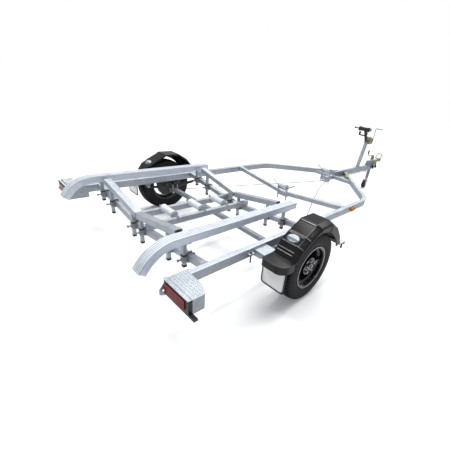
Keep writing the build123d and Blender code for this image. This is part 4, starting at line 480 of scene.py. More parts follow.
def grid(points: np.ndarray, around_u: bool = False, around_v: bool = False) -> Surface:
    """Return a surface through a grid of points.

    Args:
        points: An array of nu by nv by 3; with u to the right and v up, the outside faces the viewer.
        around_u: The last row joins the first.
        around_v: The last column joins the first.

    Returns:
        The surface, one four-sided face for each cell.
    """
    nu, nv = points.shape[:2]
    index = np.arange(nu * nv).reshape(nu, nv)
    if around_u:
        index = np.vstack([index, index[:1]])
    if around_v:
        index = np.hstack([index, index[:, :1]])
    quads = np.stack([index[:-1, :-1], index[1:, :-1], index[1:, 1:], index[:-1, 1:]], axis=-1)
    return Surface(points.reshape(-1, 3), [tuple(q) for q in quads.reshape(-1, 4).tolist()])


def lathe(profile: np.ndarray, steps: int = 96) -> Surface:
    """Turn a closed profile about the Y axis.

    Each profile point (r, y) becomes the ring (r cos t, y, r sin t) for t round a full turn.
    The profile runs clockwise seen with r to the right and y up.

    Args:
        profile: An array of n by 2, radius and y.
        steps: Points round the ring.

    Returns:
        The closed surface.
    """
    t = np.linspace(0.0, TURN, steps, endpoint=False)
    r, y = profile[:, 0], profile[:, 1]
    points = np.stack([np.outer(r, np.cos(t)), np.outer(y, np.ones(steps)), np.outer(r, np.sin(t))], axis=-1)
    return grid(points, True, True)


def prism(outline: np.ndarray, origin: tuple, across: tuple, up: tuple, depth: float) -> Surface:
    """Push a flat outline straight along its normal.

    A point (a, b) of the outline stands at origin + a*across + b*up, and again at that plus
    depth times the cross product of across and up.  The outline runs anticlockwise.

    Args:
        outline: An array of n by 2.
        origin: Where the outline's own zero stands.
        across: Unit direction of the outline's first number.
        up: Unit direction of its second.
        depth: How far it is pushed.

    Returns:
        The closed solid's surface.
    """
    a, b = np.array(across, float), np.array(up, float)
    base = np.array(origin, float) + np.outer(outline[:, 0], a) + np.outer(outline[:, 1], b)
    top = base + np.cross(a, b) * depth
    count = len(outline)
    sides = [(i, (i + 1) % count, count + (i + 1) % count, count + i) for i in range(count)]
    caps = [tuple(range(count))[::-1], tuple(range(count, 2 * count))]
    return Surface(np.vstack([base, top]), sides + caps)


def ring(count: int, radius: float) -> np.ndarray:
    """Return the corners of a regular polygon about zero, anticlockwise."""
    t = np.linspace(0.0, TURN, count, endpoint=False)
    return radius * np.stack([np.cos(t), np.sin(t)], axis=-1)


def rounded(half_a: float, half_b: float, power: float, count: int) -> np.ndarray:
    """Return a rounded rectangle about zero, anticlockwise.

    At angle t the point is half_a times cos t and half_b times sin t, with the size of the cosine and of the
    sine raised to the power first: 1 gives an ellipse, and a smaller power squarer corners.

    Args:
        half_a: Half its first measure.
        half_b: Half its second.
        power: The power.
        count: Its points.

    Returns:
        An array of count by 2.
    """
    t = np.linspace(0.0, TURN, count, endpoint=False)
    a, b = (np.sign(wave) * np.abs(wave) ** power for wave in (np.cos(t), np.sin(t)))
    return np.stack([a * half_a, b * half_b], axis=-1)


def box(low: tuple, high: tuple) -> Surface:
    """Make a box.

    Args:
        low: Its lowest corner.
        high: Its highest.

    Returns:
        Its surface.
    """
    width, depth, height = (high[i] - low[i] for i in range(3))
    outline = np.array([(0.0, 0.0), (width, 0.0), (width, depth), (0.0, depth)])
    return prism(outline, low, X, Y, height)


def frame_of(axis: tuple) -> tuple:
    """Find two unit directions that make a right-handed set with an axis last.

    Args:
        axis: The axis, of any length.

    Returns:
        The two directions.
    """
    a = Vector(axis).normalized()
    helper = Vector((0.0, 0.0, 1.0)) if abs(a.z) < 0.9 else Vector((1.0, 0.0, 0.0))
    first = helper.cross(a).normalized()
    return tuple(first), tuple(a.cross(first))


def rod(start: tuple, axis: tuple, radius: float, length: float, sides: int = 16) -> Surface:
    """Return a round rod from a point along an axis."""
    first, second = frame_of(axis)
    return prism(ring(sides, radius), start, first, second, length)


def bolt(seat: tuple, axis: tuple, size: float) -> Surface:
    """Return a hexagon bolt head on its washer, let 0.5 mm into the surface below.

    Args:
        seat: The point on the surface it sits on.
        axis: The way it stands out.
        size: The thread's diameter; the head is 1.84 times as wide across its corners.

    Returns:
        The washer, the head and the slightly smaller top that stands for its chamfer.
    """
    first, second = frame_of(axis)
    a = np.array(Vector(axis).normalized())
    sunk, washer, head, hexagon = 0.0005, size * 0.18, size * 0.7, ring(6, size * 0.92)
    low = np.array(seat, float) - a * sunk
    start = low + a * (sunk + washer)
    return joined([
        prism(ring(20, size * 1.05), tuple(low), first, second, sunk + washer),
        prism(hexagon, tuple(start), first, second, head * 0.85),
        prism(hexagon * 0.88, tuple(start + a * head * 0.85), first, second, head * 0.15),
    ])


def sweep(profile: np.ndarray, path: np.ndarray, up: tuple, closed: bool = False) -> Surface:
    """Carry a closed profile along a path.

    At each path point the tangent is the central difference; the side direction is tangent x up, and the
    profile point (a, b) stands at point + a*side + b*(side x tangent).

    Args:
        profile: An array of n by 2, anticlockwise seen against the tangent.
        path: An array of m by 3.
        up: A direction never along the path.
        closed: Whether the path's end joins its start.

    Returns:
        The surface, with both ends closed where the path is open.
    """
    if closed:
        tangent = np.roll(path, -1, axis=0) - np.roll(path, 1, axis=0)
    else:
        tangent = np.gradient(path, axis=0)
    tangent /= np.linalg.norm(tangent, axis=1)[:, None]
    side = np.cross(tangent, np.array(up, float))
    side /= np.linalg.norm(side, axis=1)[:, None]
    rise = np.cross(side, tangent)
    points = path[:, None] + profile[None, :, :1] * side[:, None] + profile[None, :, 1:] * rise[:, None]
    shell = grid(points, closed, True).flipped()
    if not closed:
        count = len(profile)
        last = (len(path) - 1) * count
        shell.faces.append(tuple(range(count)))
        shell.faces.append(tuple(range(last, last + count))[::-1])
    return shell


def dress(node: str, made: object) -> None:
    """Give a CAD node its finish.

    Args:
        node: The node's name.
        made: The finish.
    """
    node_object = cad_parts[node]
    node_object.data.materials.clear()
    node_object.data.materials.append(finish(made))
    log.info("dressed %s with %s", node, made.name)


# ---------------------------------------------------------------- studio
@dataclass
class Studio:
    """Camera, floor, lights and sky."""

    spot: tuple = (-3.2313, -2.0832, 1.5445)
    right: tuple = (0.66066486, -0.73793939, 0.13772219)
    up: tuple = (0.26826883, 0.39570419, 0.88131459)
    back: tuple = (-0.704854, -0.54668423, 0.45201459)
    lens: float = 21.870
    shift: tuple = (-0.10542, 0.01478)
    floor_reach: float = 60.0
    floor_tone: tuple = (0.90, 0.90, 0.90)
    floor_return: tuple = (0.56, 0.56, 0.56)
    sky_tone: tuple = (0.44, 0.45, 0.47)

    def camera(self) -> None:
        """Make the scene's camera."""
        data = bpy.data.cameras.new("camera")
        data.lens = self.lens
        data.sensor_width = 36.0
        data.shift_x, data.shift_y = self.shift
        data.clip_end = 200.0
        back = Vector(self.back).normalized()
        right = Vector(self.right) - back * Vector(self.right).dot(back)
        right.normalize()
        turn = Matrix((right, back.cross(right), back)).transposed()
        made = bpy.data.objects.new("camera", data)
        bpy.context.scene.collection.objects.link(made)
        made.matrix_world = Matrix.Translation(self.spot) @ turn.to_4x4()
        bpy.context.scene.camera = made

    def floor(self) -> None:
        """Lay a wide pale floor at z = 0, which throws little light back up."""
        graph = Graph("studio floor")
        seen = graph.value("ShaderNodeLightPath", {}, {}, "Is Camera Ray")
        speck = graph.noise(0.8, 2.0)
        pale = graph.mix(speck, self.floor_tone, (0.88, 0.88, 0.88))
        made = graph.surface(
            Base_Color=graph.mix(seen, self.floor_return, pale),
            Roughness=0.95,
            Specular_IOR_Level=0.0,
            Emission_Color=graph.mix(seen, (0.0, 0.0, 0.0), (0.11, 0.11, 0.11)),
            Emission_Strength=1.0,
        )
        reach = self.floor_reach
        corners = [(-reach, -reach, 0.0), (reach, -reach, 0.0), (reach, reach, 0.0), (-reach, reach, 0.0)]
        mesh = bpy.data.meshes.new("studio_floor")
        mesh.from_pydata(corners, [], [(0, 1, 2, 3)])
        mesh.materials.append(made)
        floor = bpy.data.objects.new("studio_floor", mesh)
        bpy.context.scene.collection.objects.link(floor)

    def lamp(self, data: bpy.types.Light, spot: tuple, aim: tuple) -> None:
        """Put a light in the scene.

        Args:
            data: The light.
            spot: Where it stands.
            aim: The point it faces.
        """
        lamp = bpy.data.objects.new(data.name, data)
        bpy.context.scene.collection.objects.link(lamp)
        lamp.location = spot
        lamp.rotation_euler = (Vector(aim) - Vector(spot)).to_track_quat("-Z", "Y").to_euler()

    def softbox(self, name: str, spot: tuple, aim: tuple, size: tuple, power: float) -> None:
        """Add a soft rectangular light.

        Args:
            name: The light's name.
            spot: Where it stands.
            aim: The point it faces.
            size: Its width and height.
            power: Its power in watts.
        """
        data = bpy.data.lights.new(name, "AREA")
        data.shape = "RECTANGLE"
        data.size, data.size_y = size
        data.energy = power
        self.lamp(data, spot, aim)

    def dome(self, name: str, spot: tuple, spread: float, strength: float) -> None:
        """Add a broad even light from far away.

        Args:
            name: The light's name.
            spot: The side it comes from.
            spread: Its width in degrees.
            strength: Its strength in watts per square metre.
        """
        data = bpy.data.lights.new(name, "SUN")
        data.angle = math.radians(spread)
        data.energy = strength
        self.lamp(data, spot, (0.0, 0.0, 0.0))

    def sky(self) -> None:
        """Surround the scene with an even sky, white behind it and softer in reflections."""
        world = bpy.data.worlds.new("studio sky")
        bpy.context.scene.world = world
        world.use_nodes = True
        tree = world.node_tree
        ground = tree.nodes["Background"]
        ground.inputs["Strength"].default_value = 1.0
        seen = tree.nodes.new("ShaderNodeLightPath")
        tone = tree.nodes.new("ShaderNodeMix")
        tone.data_type = "RGBA"
        tone.inputs[6].default_value = (*self.sky_tone, 1.0)
        tone.inputs[7].default_value = (1.0, 1.0, 1.0, 1.0)
        tree.links.new(seen.outputs["Is Camera Ray"], tone.inputs[0])
        tree.links.new(tone.outputs[2], ground.inputs["Color"])

    def build(self) -> None:
        """Set up the floor and the lights."""
        bpy.context.scene.view_settings.view_transform = "Standard"
        self.floor()
        self.sky()
        self.dome("key", (3.26, 1.18, 6.0), 54.0, 2.5)
        self.softbox("top_strip", (-1.6, -1.35, 5.6), (-1.6, -1.2, 0.5), (3.0, 0.35), 80.0)
        self.softbox("rear_strip", (-3.9, 1.9, 5.6), (-1.7, -0.6, 0.6), (0.8, 2.6), 130.0)
        log.info("studio ready")


# ---------------------------------------------------------------- brake cables
@dataclass
class BrakeCables:
    """The two brake cables, from the equaliser on the rod to the backs of the brakes."""

    radius: float = 0.004
    route: tuple = (
        (2.0855, 0.038, 0.405),
        (1.965, 0.038, 0.405),
        (1.150, 0.405, 0.360),
        (0.400, 0.790, 0.295),
        (0.115, 0.900, 0.286),
        (0.115, 0.967, 0.286),
    )

    def curve(self, side: Side) -> bpy.types.Object:
        """Return one cable as a smooth curve through the route.

        Args:
            side: Which wheel it works.

        Returns:
            The curve object.
        """
        points = [(ahead(x), side.value * y, z) for x, y, z in self.route]
        data = bpy.data.curves.new(f"brake_cable_{side.label}", "CURVE")
        data.dimensions = "3D"
        line = data.splines.new("NURBS")
        line.points.add(len(points) - 1)
        for spot, place in zip(line.points, points):
            spot.co = (*place, 1.0)
        line.order_u = 3
        line.use_endpoint_u = True
        line.resolution_u = 24
        data.bevel_depth = self.radius
        data.bevel_resolution = 4
        data.use_fill_caps = True
        data.materials.append(finish(CABLE_BLACK))
        made = bpy.data.objects.new(data.name, data)
        bpy.context.scene.collection.objects.link(made)
        return made

    def length(self, piece: bpy.types.Object) -> float:
        """Measure a cable along its middle, with its thickness taken off while it is measured.

        Args:
            piece: The cable.

        Returns:
            Its length.
        """
        bevel, piece.data.bevel_depth = piece.data.bevel_depth, 0.0
        bpy.context.view_layer.update()
        view = bpy.context.evaluated_depsgraph_get()
        line = bpy.data.meshes.new_from_object(piece.evaluated_get(view))
        piece.data.bevel_depth = bevel
        spots = np.array([v.co for v in line.vertices])
        return float(np.linalg.norm(np.diff(spots, axis=0), axis=1).sum())

    def build(self) -> None:
        """Make both cables."""
        for side in Side:
            piece = self.curve(side)
            long = self.length(piece)
            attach(piece, "chassis")
            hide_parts("brake_cables")
            x, y, z = self.route[0]
            ahead(x)
            side.value * y
            log.info("%s is %.3f m long", piece.name, long)


# ---------------------------------------------------------------- wheels
def smoothed(points: np.ndarray, count: int, closed: bool = False) -> np.ndarray:
    """Return a smooth curve through points.

    Between two points the curve is the Catmull-Rom cubic of the two and their neighbours, sampled evenly
    along the run of the given points.

    Args:
        points: An array of n by k.
        count: Points of the result.
        closed: Whether the last point joins the first.

    Returns:
        An array of count by k.
    """
    if closed:
        padded = np.vstack([points[-1:], points, points[:2]])
    else:
        padded = np.vstack([2 * points[0] - points[1], points, 2 * points[-1] - points[-2]])
    step = np.linalg.norm(np.diff(padded[1:-1], axis=0), axis=1)
    along = np.concatenate([[0.0], np.cumsum(step)])
    s = np.linspace(0.0, along[-1], count, endpoint=not closed)
    i = np.clip(np.searchsorted(along, s, side="right") - 1, 0, len(step) - 1)
    t = ((s - along[i]) / step[i])[:, None]
    p0, p1, p2, p3 = padded[i], padded[i + 1], padded[i + 2], padded[i + 3]
    bend = (2 * p0 - 5 * p1 + 4 * p2 - p3) * t**2 + (3 * p1 - p0 - 3 * p2 + p3) * t**3
    return 0.5 * (2 * p1 + (p2 - p0) * t + bend)


def smoothstep(low: float, high: float, x: np.ndarray) -> np.ndarray:
    """Return 0 below low, 1 above high and 3t^2 - 2t^3 between."""
    t = np.clip((x - low) / (high - low), 0.0, 1.0)
    return t * t * (3.0 - 2.0 * t)


@dataclass
class RoadWheel:
    """A road wheel: tyre, rim details, nuts and cap."""

    side: Side
    radius: float = 0.310
    groove_depth: float = 0.007
    grooves: tuple = (0.0215, 0.0525)
    blocks: int = 64
    steps: int = 768
    face: float = 0.0545
    nut_count: int = 5
    nut_circle: float = 0.055
    wall: tuple = (
        (0.1775, 0.0735), (0.190, 0.0742), (0.196, 0.0775), (0.205, 0.0815), (0.222, 0.0868),
        (0.243, 0.0888), (0.262, 0.0876), (0.280, 0.0842), (0.292, 0.0795), (0.2995, 0.0735),
    )
    tread: tuple = (
        (0.0715, 0.0572, 6), (0.0545, 0.0505, 3), (0.0478, 0.0262, 7), (0.0235, 0.0195, 3), (0.0168, 0.0, 5),
    )
    liner: tuple = (
        (0.1775, -0.060), (0.205, -0.068), (0.245, -0.077), (0.283, -0.068), (0.297, -0.045), (0.299, 0.0),
        (0.297, 0.045), (0.283, 0.068), (0.245, 0.077), (0.205, 0.068), (0.1775, 0.060),
    )

    def section(self) -> np.ndarray:
        """Work out the tyre's closed section.

        The sidewall is a smooth curve through its points; across the tread the radius falls off from the
        middle with the distance y by 9.5 mm times (y / 73.5 mm) to the power 2.4.

        Returns:
            Radius and distance from the tyre's middle, n by 2, with the liner's points last.
        """
        wall = smoothed(np.array(self.wall), 34)
        crown_y = np.concatenate([np.linspace(*run) for run in self.tread])
        crown_r = self.radius - 0.0003 - 0.0095 * (crown_y / 0.0735) ** 2.4
        half = np.vstack([wall, np.stack([crown_r, crown_y], axis=-1)])
        other = half[:-1][::-1] * np.array([1.0, -1.0])
        return np.vstack([half, other, np.array(self.liner)])

    def tyre(self) -> Surface:
        """Make the tyre with its tread.

        A point of the section (r, y) at angle t stands at r - g(y, t), where g is the depth of the grooves:
        four straight ones round the tread, slanted ones across both shoulders, and fine slanted cuts between.
        A rib runs round each sidewall.

        Returns:
            The tyre about the Y axis.
        """
        section = self.section()
        count = len(section) - len(self.liner)
        t = np.linspace(0.0, TURN, self.steps, endpoint=False)
        r = np.repeat(section[:, :1], self.steps, axis=1)
        y = np.repeat(section[:, 1:], self.steps, axis=1)
        angle = np.repeat(t[None, :], len(section), axis=0)
        tread = r[:count] > 0.2915
        width = np.abs(y[:count])
        straight = np.maximum(*(smoothstep(0.0045, 0.0025, np.abs(width - place)) for place in self.grooves))
        lead = angle[:count] * self.blocks / TURN + width * 22.0 * np.sign(y[:count])
        slot, sipe = (np.abs(((lead + shift) % 1.0) - 0.5) for shift in (0.0, 0.25))
        across = smoothstep(0.36, 0.42, slot) * smoothstep(0.0545, 0.0565, width)
        outer = smoothstep(0.0505, 0.0475, width) * smoothstep(0.0235, 0.0265, width)
        inner = smoothstep(0.0195, 0.0165, width) * smoothstep(0.004, 0.008, width)
        fine = smoothstep(0.42, 0.46, sipe) * outer
        centre = smoothstep(0.43, 0.47, sipe) * inner
        depth = np.maximum.reduce([straight, 0.85 * across, 0.6 * fine, 0.5 * centre])
        r[:count] -= tread * depth * self.groove_depth
        ribs = 0.0005 * smoothstep(0.0015, 0.0008, np.abs(r[:count] - 0.2815)) * (width > 0.08)
        y[:count] += ribs * np.sign(y[:count])
        points = np.stack([r * np.cos(angle), y, r * np.sin(angle)], axis=-1)
        return grid(points, True, True)

    def lip(self) -> Surface:
        """Make the bright machined ring on the rim's outer lip.

        Returns:
            The ring about the Y axis.
        """
        profile = np.array([
            (0.1866, 0.0808), (0.1866, 0.0820), (0.1872, 0.0826),
            (0.1890, 0.0826), (0.1897, 0.0820), (0.1897, 0.0808),
        ])
        return lathe(profile[::-1], 160)

    def cap(self) -> Surface:
        """Make the bright ring round the end of the hub cap.

        Returns:
            The ring about the Y axis.
        """
        profile = np.array([
            (0.0225, 0.0665), (0.0225, 0.0690), (0.0255, 0.0705), (0.0285, 0.0685), (0.0285, 0.0650),
        ])
        return lathe(profile[::-1], 64)

    def nuts(self) -> Surface:
        """Make the wheel nuts, domed hexagons on the bolt circle.

        Returns:
            The nuts, standing out along the Y axis from y = 0.
        """
        parts = []
        first, second = frame_of(Y)
        for turn in np.linspace(0.0, TURN, self.nut_count, endpoint=False) + 0.3:
            x, z = self.nut_circle * math.cos(turn), self.nut_circle * math.sin(turn)
            parts.append(prism(ring(6, 0.0098), (x, 0.0, z), first, second, 0.013))
            parts.append(prism(ring(14, 0.0078), (x, 0.013, z), first, second, 0.0035))
        return joined(parts)

    def build(self) -> None:
        """Make the wheel's pieces."""
        label = self.side.label
        body = f"wheel_{label}"
        rows = (
            ("tread_tyre", self.tyre(), 0.0, TYRE_RUBBER, "tyre_rubber", 30.0, 0.0),
            ("rim_ring", self.lip(), 0.0, BRIGHT_ALLOY, "alloy_rim", 40.0, 0.0),
            ("wheel_nuts", self.nuts(), self.face, PLATED, "plated_steel", 30.0, 0.0004),
            ("hub_cap_ring", self.cap(), 0.0, BRIGHT_ALLOY, "plated_steel", 40.0, 0.0),
        )
        for name, shell, out, made, slot, smooth, bevel in rows:
            placed = shell.moved(AXLE_X, WHEEL_Y + out, WHEEL_Z).on(self.side)
            piece = placed.piece(f"{name}_{label}", made, slot, smooth, bevel, body)
            if made is TYRE_RUBBER:
                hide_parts(f"tyre_{label}")


# ---------------------------------------------------------------- guards
@dataclass
class Guard:
    """A mudguard: moulded crown and skirt, rear shelf with its lip, badge and flap panel."""

    side: Side
    line: tuple = (
        (0.385, 0.436), (0.383, 0.455), (0.352, 0.530), (0.270, 0.628), (0.150, 0.700), (-0.025, 0.700),
        (-0.038, 0.688), (-0.154, 0.628), (-0.238, 0.578), (-0.270, 0.533), (-0.303, 0.482),
    )
    ribs: tuple = (
        (-0.020, 0.0014, 0.004), (-0.156, 0.0030, 0.006), (-0.240, 0.0034, 0.007), (-0.270, 0.0022, 0.0035),
        (-0.284, 0.0022, 0.0035),
    )
    inner_y: float = 1.0205
    outer_y: float = 1.2345
    arch_radius: float = 0.330
    wall: float = 0.0034
    samples: int = 420
    shelf_z: float = 0.482
    shelf_end: float = -0.438
    lip_bottom: float = 0.419
    flap_face: float = -0.3925
    flap_thick: float = 0.0045
    flap_half: tuple = (0.115, 0.117)
    flap_middle: tuple = (1.121, 0.357)
    panel_half: tuple = (0.102, 0.092)
    panel_middle: tuple = (1.121, 0.347)
    line_inset: float = 0.0055
    squareness: float = 0.22
    badge: tuple = (-0.198, 1.104, 0.032, 0.056)
    badge_grid: tuple = (10, 40)

    def spine(self, at: np.ndarray) -> tuple:
        """Return the crown's outer line and its inward normals.

        The polyline through the line's corners is sampled evenly and averaged over a short run, which
        rounds each corner; the normal is the tangent turned a quarter turn towards the wheel.

        Args:
            at: Distances along the line, from 0 to 1.

        Returns:
            The points and the normals, each an array of n by 2 in x and z.
        """
        corners = np.array([(ahead(x), z) for x, z in self.line])
        step = np.concatenate([[0.0], np.cumsum(np.linalg.norm(np.diff(corners, axis=0), axis=1))])
        s = at[:, None] * step[-1] + np.linspace(-0.006, 0.006, 9)[None, :]
        s = np.clip(s, 0.0, step[-1])
        points = np.stack([np.interp(s, step, corners[:, k]).mean(axis=1) for k in (0, 1)], axis=-1)
        tangent = np.gradient(points, axis=0)
        tangent /= np.linalg.norm(tangent, axis=1)[:, None]
        normal = np.stack([-tangent[:, 1], tangent[:, 0]], axis=-1)
        place, height, width = (np.array(column) for column in zip(*self.ribs))
        marks = np.interp(-(AXLE_X + place), -points[:, 0], at * step[-1])
        bumps = height * np.exp(-(((at * step[-1])[:, None] - marks[None, :]) / width) ** 2)
        return points - normal * bumps.sum(axis=1)[:, None], normal

    def section(self) -> np.ndarray:
        """Work out the crown's section, a smooth curve from the inner edge to the top of the skirt.

        Returns:
            The y and the inset of each point.
        """
        low, high = self.inner_y, self.outer_y
        corners = np.array([
            (low, 0.022), (low, 0.010), (low + 0.0015, 0.0035), (low + 0.006, 0.0006), (low + 0.014, 0.0),
            (1.060, 0.0), (1.104, 0.0), (1.150, 0.0), (1.176, 0.0), (1.1825, 0.0006), (1.188, 0.0028),
            (1.198, 0.0068), (1.212, 0.0122), (1.224, 0.0170), (high - 0.005, 0.0200),
            (high - 0.0012, 0.0238), (high, 0.0290),
        ])
        return smoothed(corners, 46)

    def crown(self) -> Surface:
        """Make the moulded crown, shoulder and skirt as one open surface.

        A point at s along the crown and (y, inset) on the section stands at L(s) + inset*n(s); below the
        shoulder the skirt runs straight to the arch, a circle about the axle, and turns in there.

        Returns:
            The surface, which has no thickness yet.
        """
        points, normal = self.spine(np.linspace(0.0, 1.0, self.samples))
        section, rows = self.section(), 8
        y = np.broadcast_to(section[:, 0], (len(points), len(section)))
        flat = points[:, None] + section[None, :, 1:] * normal[:, None]
        rim = flat[:, -1]
        centre = np.array([AXLE_X, WHEEL_Z])
        away = rim - centre
        reach = np.linalg.norm(away, axis=1)[:, None]
        arch = centre + away / reach * np.minimum(self.arch_radius, reach - 0.005)
        share = np.linspace(0.0, 1.0, rows + 1)[None, 1:, None]
        skirt = rim[:, None] * (1.0 - share) + arch[:, None] * share
        turned = np.repeat(arch[:, None], 2, axis=1) + away[:, None] / reach[:, None] * -0.0015
        xz = np.concatenate([flat, skirt, turned], axis=1)
        skirt_y = np.full((len(points), rows), self.outer_y)
        turned_y = np.broadcast_to(self.outer_y - np.array([0.002, 0.009]), (len(points), 2))
        depth = np.concatenate([y, skirt_y, turned_y], axis=1)
        return grid(np.stack([xz[..., 0], depth, xz[..., 1]], axis=-1)).flipped()

    def plan(self, inset: float) -> np.ndarray:
        """Work out the shelf's outline, from the inner front corner round the rear to the outer front one.

        Args:
            inset: How far the outline lies inside the shelf's edge.

        Returns:
            An array of n by 2, x and y.
        """
        rear, low, high = ahead(self.shelf_end) + inset, self.inner_y + inset, self.outer_y - inset
        front = ahead(self.line[-1][0]) + 0.022
        small, large = 0.024 - inset, 0.082 - inset
        turn = np.linspace(0.0, QUARTER, 14)
        inner = np.stack([rear + small * (1.0 - np.sin(turn)), low + small * (1.0 - np.cos(turn))], axis=-1)
        outer = np.stack([rear + large * (1.0 - np.cos(turn)), high - large * (1.0 - np.sin(turn))], axis=-1)
        return np.vstack([[(front, low)], inner, outer, [(front, high)]])

    def shelf(self) -> Surface:
        """Make the shelf behind the wheel, a plate, and its lip, a strip and a bead carried round its edge.

        Returns:
            The plate, the strip and the bead.
        """
        thick, half = 0.004, 0.0018
        plate = prism(self.plan(0.0)[::-1], (0.0, 0.0, self.shelf_z - thick), X, Y, thick)
        edge = self.plan(half)[1:-1]
        edge = np.vstack([[(edge[0, 0] + 0.05, edge[0, 1])], edge, [(edge[-1, 0] + 0.05, edge[-1, 1])]])
        tall = self.shelf_z - 0.0015 - self.lip_bottom
        strip = np.array([(-half, 0.0), (half, 0.0), (half, tall), (-half, tall)])
        path = np.column_stack([edge, np.full(len(edge), self.lip_bottom)])
        bead = sweep(ring(10, 0.0026), path + np.array([0.0, 0.0, tall]), Z)
        return joined([plate, sweep(strip, path, Z), bead])

    def oval(self, low: float, high: float, grow: float, rise: float) -> Surface:
        """Make part of the badge: an ellipse laid on the crown, domed towards its middle.

        A point at radius q and angle t stands over the crown at x + a q cos t and y + b q sin t, raised by
        the rise times the root of 1 - q^2.

        Args:
            low: First angle of the part.
            high: Last angle of the part.
            grow: Scale of the ellipse.
            rise: Height of the dome.

        Returns:
            The surface, closed below.
        """
        x, y, a, b = self.badge
        rings, across = self.badge_grid
        q, t = np.meshgrid(np.linspace(0.02, 1.0, rings), np.linspace(low, high, across), indexing="ij")
        wide, deep = ahead(x) + a * grow * q * np.cos(t), y + b * grow * q * np.sin(t)
        points, normal = self.spine(np.linspace(0.0, 1.0, self.samples))
        order = np.argsort(points[:, 0])
        columns = (points[:, 1], normal[:, 0], normal[:, 1])
        z, nx, nz = (np.interp(wide, points[order, 0], column[order]) for column in columns)
        lift = rise * np.sqrt(np.clip(1.0 - q * q, 0.0, 1.0)) + 0.0012
        top = np.stack([wide - nx * lift, deep, z - nz * lift], axis=-1)
        under = np.stack([wide + nx * 0.001, deep, z + nz * 0.001], axis=-1)
        whole = high - low > TURN - 0.01
        if whole:
            top, under = top[:, :-1], under[:, :-1]
        made = grid(np.concatenate([top, under[::-1]]), True, whole)
        if not whole:
            first = tuple(range(0, len(made.points), across))
            last = tuple(range(across - 1, len(made.points), across))
            made.faces += [first, last[::-1]]
        return made

    def flap(self) -> Surface:
        """Make the rubber flap, a flat rounded rectangle whose back stands at the flap's face.

        Returns:
            The sheet.
        """
        y, z = self.flap_middle
        outline = rounded(*self.flap_half, self.squareness, 96)
        return prism(outline, (ahead(self.flap_face) + self.flap_thick, y, z), INWARDS, Z, self.flap_thick)

    def panel(self) -> Surface:
        """Make the blank panel let into the back of the flap, a rounded rectangle that stands 1 mm proud.

        Returns:
            The panel.
        """
        y, z = self.panel_middle
        outline = rounded(*self.panel_half, self.squareness, 96)
        return prism(outline, (ahead(self.flap_face) + 0.001, y, z), INWARDS, Z, 0.002)

    def piping(self) -> Surface:
        """Make the thin raised line just inside the panel's edge, a rod round a rounded rectangle.

        Returns:
            The line.
        """
        y, z = self.panel_middle
        line = rounded(*(half - self.line_inset for half in self.panel_half), self.squareness, 160)
        back = np.full(len(line), ahead(self.flap_face) - 0.001)
        return sweep(ring(6, 0.0006), np.stack([back, y - line[:, 0], z + line[:, 1]], axis=-1), X, True)

    def build(self) -> None:
        """Make the guard's pieces."""
        label, pi = self.side.label, math.pi
        crown = self.crown().on(self.side).piece(f"guard_crown_{label}", GUARD_BLACK, "black_guard", 50.0)
        skin = crown.modifiers.new("wall", "SOLIDIFY")
        skin.thickness = self.wall
        skin.offset = -1.0
        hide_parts(f"mudguard_{label}")
        rows = (
            ("guard_shelf", self.shelf(), GUARD_BLACK, "black_guard", 35.0, 0.0008, f"mudguard_{label}"),
            ("guard_badge_lower", self.oval(0.5 * pi, 1.5 * pi, 0.93, 0.003), BADGE_BLUE, "black_guard"),
            # The badge's upper half is coloured pale as a painted glare, not as print.
            ("guard_badge_upper", self.oval(1.5 * pi, 2.5 * pi, 0.93, 0.003), BADGE_GLARE, "black_guard"),
            ("guard_badge_rim", self.oval(0.0, TURN, 1.06, 0.0008), BLACK_PLASTIC, "black_guard"),
            ("flap", self.flap(), BLACK_RUBBER, "black_rubber", 40.0, 0.0012, "mudflaps"),
            ("flap_panel", self.panel(), WHITE_PANEL, "black_rubber", 40.0, 0.0006),
            ("flap_line", self.piping(), BLACK_RUBBER, "black_rubber"),
        )
        for name, shell, made, slot, *rest in rows:
            piece = shell.on(self.side).piece(f"{name}_{label}", made, slot, *rest[:2])
            for node in rest[2:]:
                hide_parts(node)


